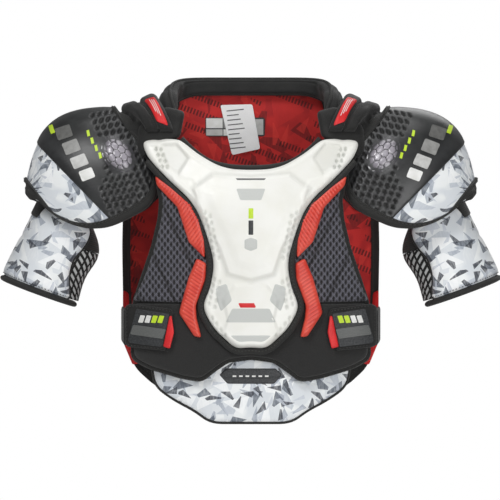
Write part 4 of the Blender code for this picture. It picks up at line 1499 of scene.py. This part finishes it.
def make_cups():
    for side, name in SIDES.items():
        body = "cup_" + name
        surface = raised(cup_base(side), side)

        def edge(u, v):
            return edge_of_grid(u, v, CUP_FIRST, CUP_LAST, -CUP_HEM, CUP_HEM)

        def outer(u, v):
            wave = 0.0005 * np.sin(u * 95 + v * 40) * np.sin(v * 61)
            return -0.0025 + puffed(edge(u, v), 0.0032, 0.006) + wave

        def inner(u, v):
            return -0.0050 - puffed(edge(u, v), 0.0036, 0.008)

        piece = shell(
            "cup_cover_" + name, body, "shards", surface,
            finer(CUP_FIRST, CUP_LAST, 70, 0.8), finer(-CUP_HEM, CUP_HEM, 130, 0.2),
            inner, outer, ("cup_shell_" + name,), "satin_black_cup",
        )

        def high(points, edge):
            at = seen(side, points)
            dome = 0.0012 + 0.0016 * smooth(edge, 0, 0.002) + 0.0006 * smooth(edge, 0.002, 0.012)
            swell = 0.0022 * smooth(in_boss(at, 1.25), 0.0, 0.5)
            lines = np.abs(np.sin((points[:, 0] + 0.08 * np.abs(points[:, 1])) * math.pi / 0.0021))
            field = smooth(points[:, 0], 0.070, 0.082) * (1 - smooth(points[:, 0], 0.094, 0.100))
            field *= smooth(np.abs(points[:, 1]), 0.03, 0.05)
            return dome + swell - 0.0017 * hole_depth(at) + 0.00035 * lines * field

        def hole(points, edge):
            return np.clip(hole_depth(seen(side, points)) * 1.3, 0, 1)

        # Painted highlight on the cap: a faint band inside its edge and a lighter patch round the boss.
        def painted_highlight(points, edge):
            at = seen(side, points)
            return groove(edge - 0.012, 0.010) * 0.10 + 0.35 * np.clip(in_boss(at, 1.5), 0, 1)

        panel(
            "cup_cap_" + name, body, "cap", surface, cap_outline(), -0.0006, high, 0.0017,
            (0.0004, 0.0012, 0.0024), (), "satin_black_cup", {"hole": hole, "painted_highlight": painted_highlight},
        )
        make_boss(side, name, body, surface)
        make_cup_marks(name, body, surface, high)
        make_cup_edge(side, name, body, surface)


def hexes(at, pitch, stretch, turn):
    """0 on the lines between six-sided cells, rising to 1 inside each."""
    ahead, beside = axes(turn)
    x, y = at @ beside / pitch, at @ ahead / (pitch * stretch)
    first = np.full(len(at), 1e9)
    second = np.full(len(at), 1e9)
    for shift in (0.0, 0.5):
        column = np.floor(x - shift)
        row = np.floor(y / math.sqrt(3) - shift)
        for i in (0, 1):
            for j in (0, 1):
                cx = column + i + shift
                cy = (row + j + shift) * math.sqrt(3)
                gap = np.hypot(x - cx, y - cy)
                second = np.minimum(second, np.maximum(first, gap))
                first = np.minimum(first, gap)
    return smooth(second - first, 0.05, 0.16)


def make_boss(side, name, body, surface):
    turns = np.linspace(0, 2 * math.pi, 37)[:-1]
    ahead, beside = axes(BOSS_TURN)
    rim = [tuple(BOSS_MIDDLE + 25 * math.cos(t) * ahead + 17 * math.sin(t) * beside) for t in turns]
    outline = locate(rim)

    def cells(points):
        return hexes(seen(side, points), 7.6, 1.35, BOSS_TURN)

    def high(points, edge):
        part = np.clip(in_boss(seen(side, points)), 0, 1)
        return 0.0044 + 0.0032 * smooth(part, 0, 0.6) - 0.0009 * (1 - cells(points))

    # The painted_highlight values paint the boss light in its middle and darker towards its rim.
    panel(
        "boss_dome_" + name, body, "boss", surface, outline, 0.001, high, 0.0011,
        (0.0004, 0.0010), ("cup_boss_" + name,), "satin_black_cup",
        {"hole": lambda p, e: 1 - cells(p),
         "painted_highlight": lambda p, e: smooth(in_boss(seen(side, p)), 0.0, 0.5)},
    )


def make_cup_marks(name, body, surface, cap_high):
    """Plain slanted bars and dashes, where the real caps carry printed words."""
    bars = [
        ((244, 6), (226, 12), (221, -2), (239, -8), "bar_dark"),
        ((235, -12), (217, -5), (211, -19), (229, -26), "bar_mid"),
        ((225, -30), (207, -23), (201, -36), (219, -43), "bar_pale"),
        ((214, -46), (198, -40), (193, -52), (209, -58), "ink"),
    ]
    dashes = [(205, 4, 3.0), (200, -5, 3.2), (195, -14, 3.4), (190, -23, 3.4)]

    def mark(label, key, line, rings):
        thin(f"{label}_{name}", body, key, surface, locate(line),
             lambda p, e: cap_high(p, e + 0.02), -0.0002, 0.0005, 0.0025, rings)

    for number, (*corners, key) in enumerate(bars):
        mark(f"cap_bar_{number}", key, divided(rounded(corners, 2.0, 3), 4.0), (0.0006,))
    for number, (x, z, wide) in enumerate(dashes):
        corners = [(x, z), (x - wide * 0.5, z - 7), (x - wide * 0.5 - 3.2, z - 6), (x - 3.2, z + 1)]
        mark(f"cap_dash_{number}", "neon", divided(corners, 3.0), (0.0005,))
    mark("cap_flash", "neon", divided([(252, 10), (247, 11.5), (243, 2), (248, 0)], 3.0), (0.0005,))


def make_cup_edge(side, name, body, surface):
    first, last, hem = CUP_FIRST + 0.001, CUP_LAST, CUP_HEM
    line = [(first, -hem), (last, -hem), (last, hem), (first, hem)]
    line = divided(rounded(line, 0.010, 8), 0.003)
    profile = [
        (-0.0050, 0.0004), (-0.0047, 0.0032), (-0.0028, 0.0040), (-0.0004, 0.0034), (0.0008, 0.0012),
        (0.0014, -0.0035), (0.0010, -0.0080), (-0.0004, -0.0096), (-0.0025, -0.0099),
        (-0.0044, -0.0092), (-0.0048, -0.0070),
    ]
    band("cup_tape_" + name, body, surface, line, profile, True, ("cup_binding_" + name,), "binding")
    stitches("cup_seam_" + name, body, surface, spread(line, -0.0036), 0.0041)
    make_gusset(side, name, surface)


def make_gusset(side, name, surface):
    """The soft cloth that joins the cup to the yoke; the real one bends when the cup lifts, this one
    keeps a fixed shape.
    """
    yoke = raised(yoke_base(side), side)

    def between(u, v):
        near = yoke(0.93 + 0 * u, v * 0.97, 0.0085 + 0 * u)
        far = surface(0.0045 + 0 * u, v * 0.163, 0.0015 + 0 * u)
        return near + (far - near) * u[..., None]

    def over(u, v):
        fold = 0.0014 * np.sin(v * 26) * np.sin(np.pi * u)
        return 0.0008 + 0.0095 * np.sin(np.pi * np.clip(u, 0, 1)) + fold

    gusset = shell(
        "cup_gusset_" + name, None, "yoke", raised(between, -side), np.linspace(0, 1, 14),
        np.linspace(-1, 1, 110), lambda u, v: over(u, v) - 0.0040, over,
    )
    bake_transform(gusset)


# ---- Bicep guards ---------------------------------------------------------------------------


def make_biceps():
    first, last = SLEEVE_OPENS * SLEEVE_HEM, SLEEVE_CLOSES * SLEEVE_HEM
    for side, name in SIDES.items():
        body = "bicep_" + name
        surface = sleeve(side)
        outline = [
            (first + 0.010, 0.0), (last, 0.0), (last, SLEEVE_LENGTH), (first + 0.020, SLEEVE_LENGTH),
            (first + 0.033, 0.072), (first + 0.036, 0.050), (first + 0.025, 0.026),
        ]
        outline = rounded(outline, 0.008)

        def high(points, edge):
            wave = 0.0007 * np.sin(points[:, 0] * 70 + 1) * np.sin(points[:, 1] * 60)
            crease = 0.0012 * groove(points[:, 1] - 0.046, 0.003) * smooth(edge, 0.002, 0.01)
            return 0.0030 + puffed(edge, 0.0062, 0.009) + wave - crease

        piece = panel(
            "guard_pad_" + name, body, "shards", surface, outline, 0, high, 0.0028,
            (0.0006, 0.0018, 0.0036, 0.006), ("bicep_pad_" + name,), "shard_print",
            low_at=lambda p, e: 0.0025 - puffed(e, 0.0024, 0.009),
        )
        edge = divided(outline, 0.004)
        away = 1 if turns_left(outline) else -1
        profile = [(away * x, h) for x, h in tape(0.0030, 0.0012, 0.0052, -0.0012)]
        band("guard_piping_" + name, body, surface, edge, profile, True)
        hem = [(u, SLEEVE_LENGTH + 0.0005) for u in np.linspace(first + 0.010, last, 60)]
        profile = [(-x, h) for x, h in tape(0.0075, 0.0006, 0.0088, -0.0008)]
        band("guard_tape_" + name, body, surface, hem, profile, False,
             ("bicep_binding_" + name,), "binding")
        seam = [(u, SLEEVE_LENGTH - 0.003) for u in np.linspace(first + 0.02, last - 0.004, 60)]
        stitches_on("guard_seam_" + name, body, surface, seam, 0.0085)
        make_arm_strap(name, body, surface, first, last)
        hanger = [(2.30, -0.004), (3.75, -0.006), (3.70, 0.014), (2.45, 0.019)]
        hanger = rounded([(angle * SLEEVE_HEM, v) for angle, v in hanger], 0.004)
        panel(
            "guard_hanger_" + name, body, "web", surface, hanger, 0.0015,
            lambda p, e: 0.0090 + puffed(e, 0.0012, 0.002),
            0.0025, (0.0006, 0.0016), ("bicep_hanger_" + name,), "black_fabric",
        )


def make_arm_strap(name, body, surface, first, last):
    """The elastic behind the arm: a plain strap above a dashed one, from edge to edge."""
    turn = 2 * math.pi * SLEEVE_HEM
    start, end = last - 0.006 - turn, first + 0.044

    def over(u, v):
        return 0.0028 + 0.0012 * np.sin(np.clip((u - start) / (end - start), 0, 1) * math.pi)

    columns = np.linspace(start, end, 46)
    shell(
        "guard_strap_" + name, body, "web", surface, columns, np.linspace(-0.002, 0.0350, 8),
        lambda u, v: over(u, v) - 0.0018, over, ("bicep_strap_" + name,), "black_fabric",
    )
    shell(
        "guard_elastic_" + name, body, "dash", surface, columns, np.linspace(0.0360, 0.1000, 12),
        lambda u, v: over(u, v) - 0.0020, lambda u, v: over(u, v) - 0.0004,
    )


# ---- Tabs, side straps and the belly extension -----------------------------------------------

TAB = [(157, -259), (153, -263), (106, -267), (96, -222), (98, -215), (150, -209), (157, -213)]
TAB_SEAM = [(154, -260), (107.5, -264.5), (98.5, -221), (100, -217), (149, -211.5), (154, -215)]
TAB_PULL = [(109, -262), (100, -264), (95, -244), (98, -223), (101, -224)]


def make_tabs():
    front = torso(FRONT)
    low = SECOND + BELLY + GAP
    for side, name in SIDES.items():
        body = "tab_" + name

        def high(points, edge):
            bow = 0.0010 * np.sin(points[:, 0] * 95)
            return low + 0.0022 + puffed(edge, 0.0036, 0.003) + bow

        def shape(points, radius):
            return rounded(flipped(mm(points), side), radius)

        piece = panel(
            "tab_strap_" + name, body, "black", front, shape(TAB, 0.003), low, high, 0.0025,
            (0.0005, 0.0014), ("strap_tab_" + name,), "black_fabric",
        )

        def on_tab(label, points, material, lift, thick, radius=0.002, replaces=(), slot=None):
            thin(f"{label}_{name}", body, material, front, shape(points, radius),
                 lambda p, e: high(p, e + 0.01), lift, lift + thick, replaces=replaces, slot=slot)

        on_tab("tab_patch", [(153, -255), (150, -258), (110, -262), (101, -221), (142, -215)],
               "label", -0.0002, 0.0008)
        on_tab("tab_bar", [(150, -247), (109, -252), (105, -240), (146, -235)], "bar", 0.0006, 0.0009,
               0.002, ("strap_bar_" + name,), "grey_bar")
        for number, key in enumerate(("ink", "ink", "neon", "neon")):
            x = 140 - 8 * number
            on_tab(f"tab_mark_{number}", [(x, -232), (x - 6, -232.6), (x - 9, -223.6), (x - 3, -223)],
                   key, 0.0006, 0.0004, 0.001)
        line = divided(shape(TAB_SEAM, 0.003), 0.001)
        stitches("tab_seam_" + name, body, front, line, low + 0.0064)
        panel(
            "tab_pull_" + name, body, "red", front, shape(TAB_PULL, 0.002), low + 0.0040,
            lambda p, e: low + 0.0056 + puffed(e, 0.0016, 0.0025), 0.002, (0.0005, 0.0014),
            ("strap_pull_" + name,), "coral_rib",
        )


def make_side_straps():
    for side, name in SIDES.items():
        surface = flank(side)
        columns = np.linspace(-0.0760, 0.0490, 44)
        rows = np.linspace(-0.2612, -0.2168, 16)

        def over(u, v):
            edge = np.minimum(v + 0.2612, -0.2168 - v)
            return -0.0012 + puffed(edge, 0.0010, 0.002) + 0.0003 * np.sin(u * 900)

        piece = shell(
            "waist_strap_" + name, None, "web", surface, columns, rows,
            lambda u, v: -0.0030 + 0 * u, over, ("side_strap_" + name,), "black_fabric",
        )
        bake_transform(piece)


def make_extension():
    front = torso(FRONT)
    outline = rounded(mirrored(mm([(0, -262)] + EXTENSION)), 0.014)

    def seam(points):
        x, z = np.abs(points[:, 0]), points[:, 1]
        arch = z + 0.302 + 0.10 * smooth(x, 0.030, 0.075) * (x - 0.030)
        slant = np.abs(x * 0.80 + z * 0.60 + 0.128)
        return np.maximum(groove(arch, 0.0013) * (x < 0.080), groove(slant, 0.0013) * (z < -0.29))

    def high(points, edge):
        wave = 0.0006 * np.sin(points[:, 0] * 70) * np.sin(points[:, 1] * 80)
        return -0.0105 + puffed(edge, 0.0050, 0.010) + wave - 0.0016 * seam(points)

    piece = panel(
        "belly_extension", "extension", "shards", front, outline, -0.0135, high, 0.0025,
        (0.0006, 0.0018, 0.0036, 0.006), ("extension_pad",), "shard_print",
        low_at=lambda p, e: -0.0110 - puffed(e, 0.0028, 0.010),
    )
    half = mm(EXTENSION[:-1])
    line = rounded([(-x, z) for x, z in half] + half[::-1], 0.014, closed=False)
    band("extension_piping", "extension", front, divided(line, 0.003, closed=False),
         tape(0.0040, -0.0128, 0.0062, -0.0025), False)

    def top(points, edge):
        return high(points, edge + 0.012)

    label = rounded(mirrored(mm([(0, -289), (31, -289), (39, -297), (29, -308), (0, -308)])), 0.002)
    panel(
        "extension_plate", "extension", "label", front, label, 0,
        lambda p, e: top(p, e) + 0.0004 + puffed(e, 0.0010, 0.002), 0.002, (0.0005, 0.0014),
        ("extension_label",), "grey_bar", low_at=lambda p, e: top(p, e) - 0.0004,
    )
    for number in range(6):
        x = -22.5 + 8 * number
        thin(f"extension_dash_{number}", "extension", "ink", front,
             mm(rectangle(x, x + 4.5, -299.5, -297.6)), top, 0.0008, 0.0020, 0.002, (0.0003,))
    tag = rounded(mm([(73, -292), (91, -290), (92, -301), (75, -303)]), 0.001)
    piece = thin("extension_tag", "extension", "tag", front, tag, top, 0.0004, 0.0012, 0.002)


make_cups()
make_biceps()
make_tabs()
make_side_straps()
make_extension()
# ---- View -----------------------------------------------------------------------------------


def make_view():
    centre = Vector((-0.001, 0, -0.144))
    distance = 6.0
    camera = bpy.data.cameras.new("camera")
    camera.sensor_width = 36
    camera.lens = 36 * (distance - 0.06) / 0.625
    seen = bpy.data.objects.new("camera", camera)
    bpy.context.scene.collection.objects.link(seen)
    elevation = math.radians(1.0)
    seen.location = centre + Vector((0, -distance * math.cos(elevation), distance * math.sin(elevation)))
    seen.rotation_euler = (centre - seen.location).to_track_quat("-Z", "Y").to_euler()
    bpy.context.scene.camera = seen
    for name, place, size, power in (
        ("key", (-0.8, -1.7, 1.4), 0.8, 21),
        ("fill", (0.7, -1.95, -0.1), 1.2, 17),
        ("rim", (0.6, 1.6, 1.3), 1.2, 10),
        ("top", (0.1, -0.2, 1.7), 1.0, 9),
    ):
        light = bpy.data.lights.new(name, "AREA")
        light.size = size
        light.energy = power
        lamp = bpy.data.objects.new(name, light)
        bpy.context.scene.collection.objects.link(lamp)
        lamp.location = place
        lamp.rotation_euler = (Vector((0, 0, -0.15)) - lamp.location).to_track_quat("-Z", "Y").to_euler()
    world = bpy.data.worlds.new("studio")
    bpy.context.scene.world = world
    world.use_nodes = True
    tree = world.node_tree
    light_path = tree.nodes.new("ShaderNodeLightPath")
    background = tree.nodes["Background"]
    background.inputs["Color"].default_value = (1, 1, 1, 1)
    share = tree.nodes.new("ShaderNodeMapRange")
    share.inputs["To Min"].default_value = 0.20
    share.inputs["To Max"].default_value = 1.0
    tree.links.new(light_path.outputs["Is Camera Ray"], share.inputs["Value"])
    tree.links.new(share.outputs[0], background.inputs["Strength"])
    bpy.context.scene.view_settings.view_transform = "Standard"


def make_floor():
    floor = Finish("floor_paper", (233.65, 233.65, 232.39), 0.8)
    grain = floor.noise(floor.place("Object"), 3.0)
    floor.colour(floor.mix(grain, (231.11, 231.11, 229.83), (238.61, 238.61, 237.39)))
    count = 64
    turns = [2 * math.pi * i / count for i in range(count)]
    ring = [(1.9 * math.cos(t), 1.9 * math.sin(t), -0.62) for t in turns]
    obj = new_object("floor", np.array(ring), [tuple(range(count))])
    obj.data.materials.append(floor.material)


make_view()
make_floor()
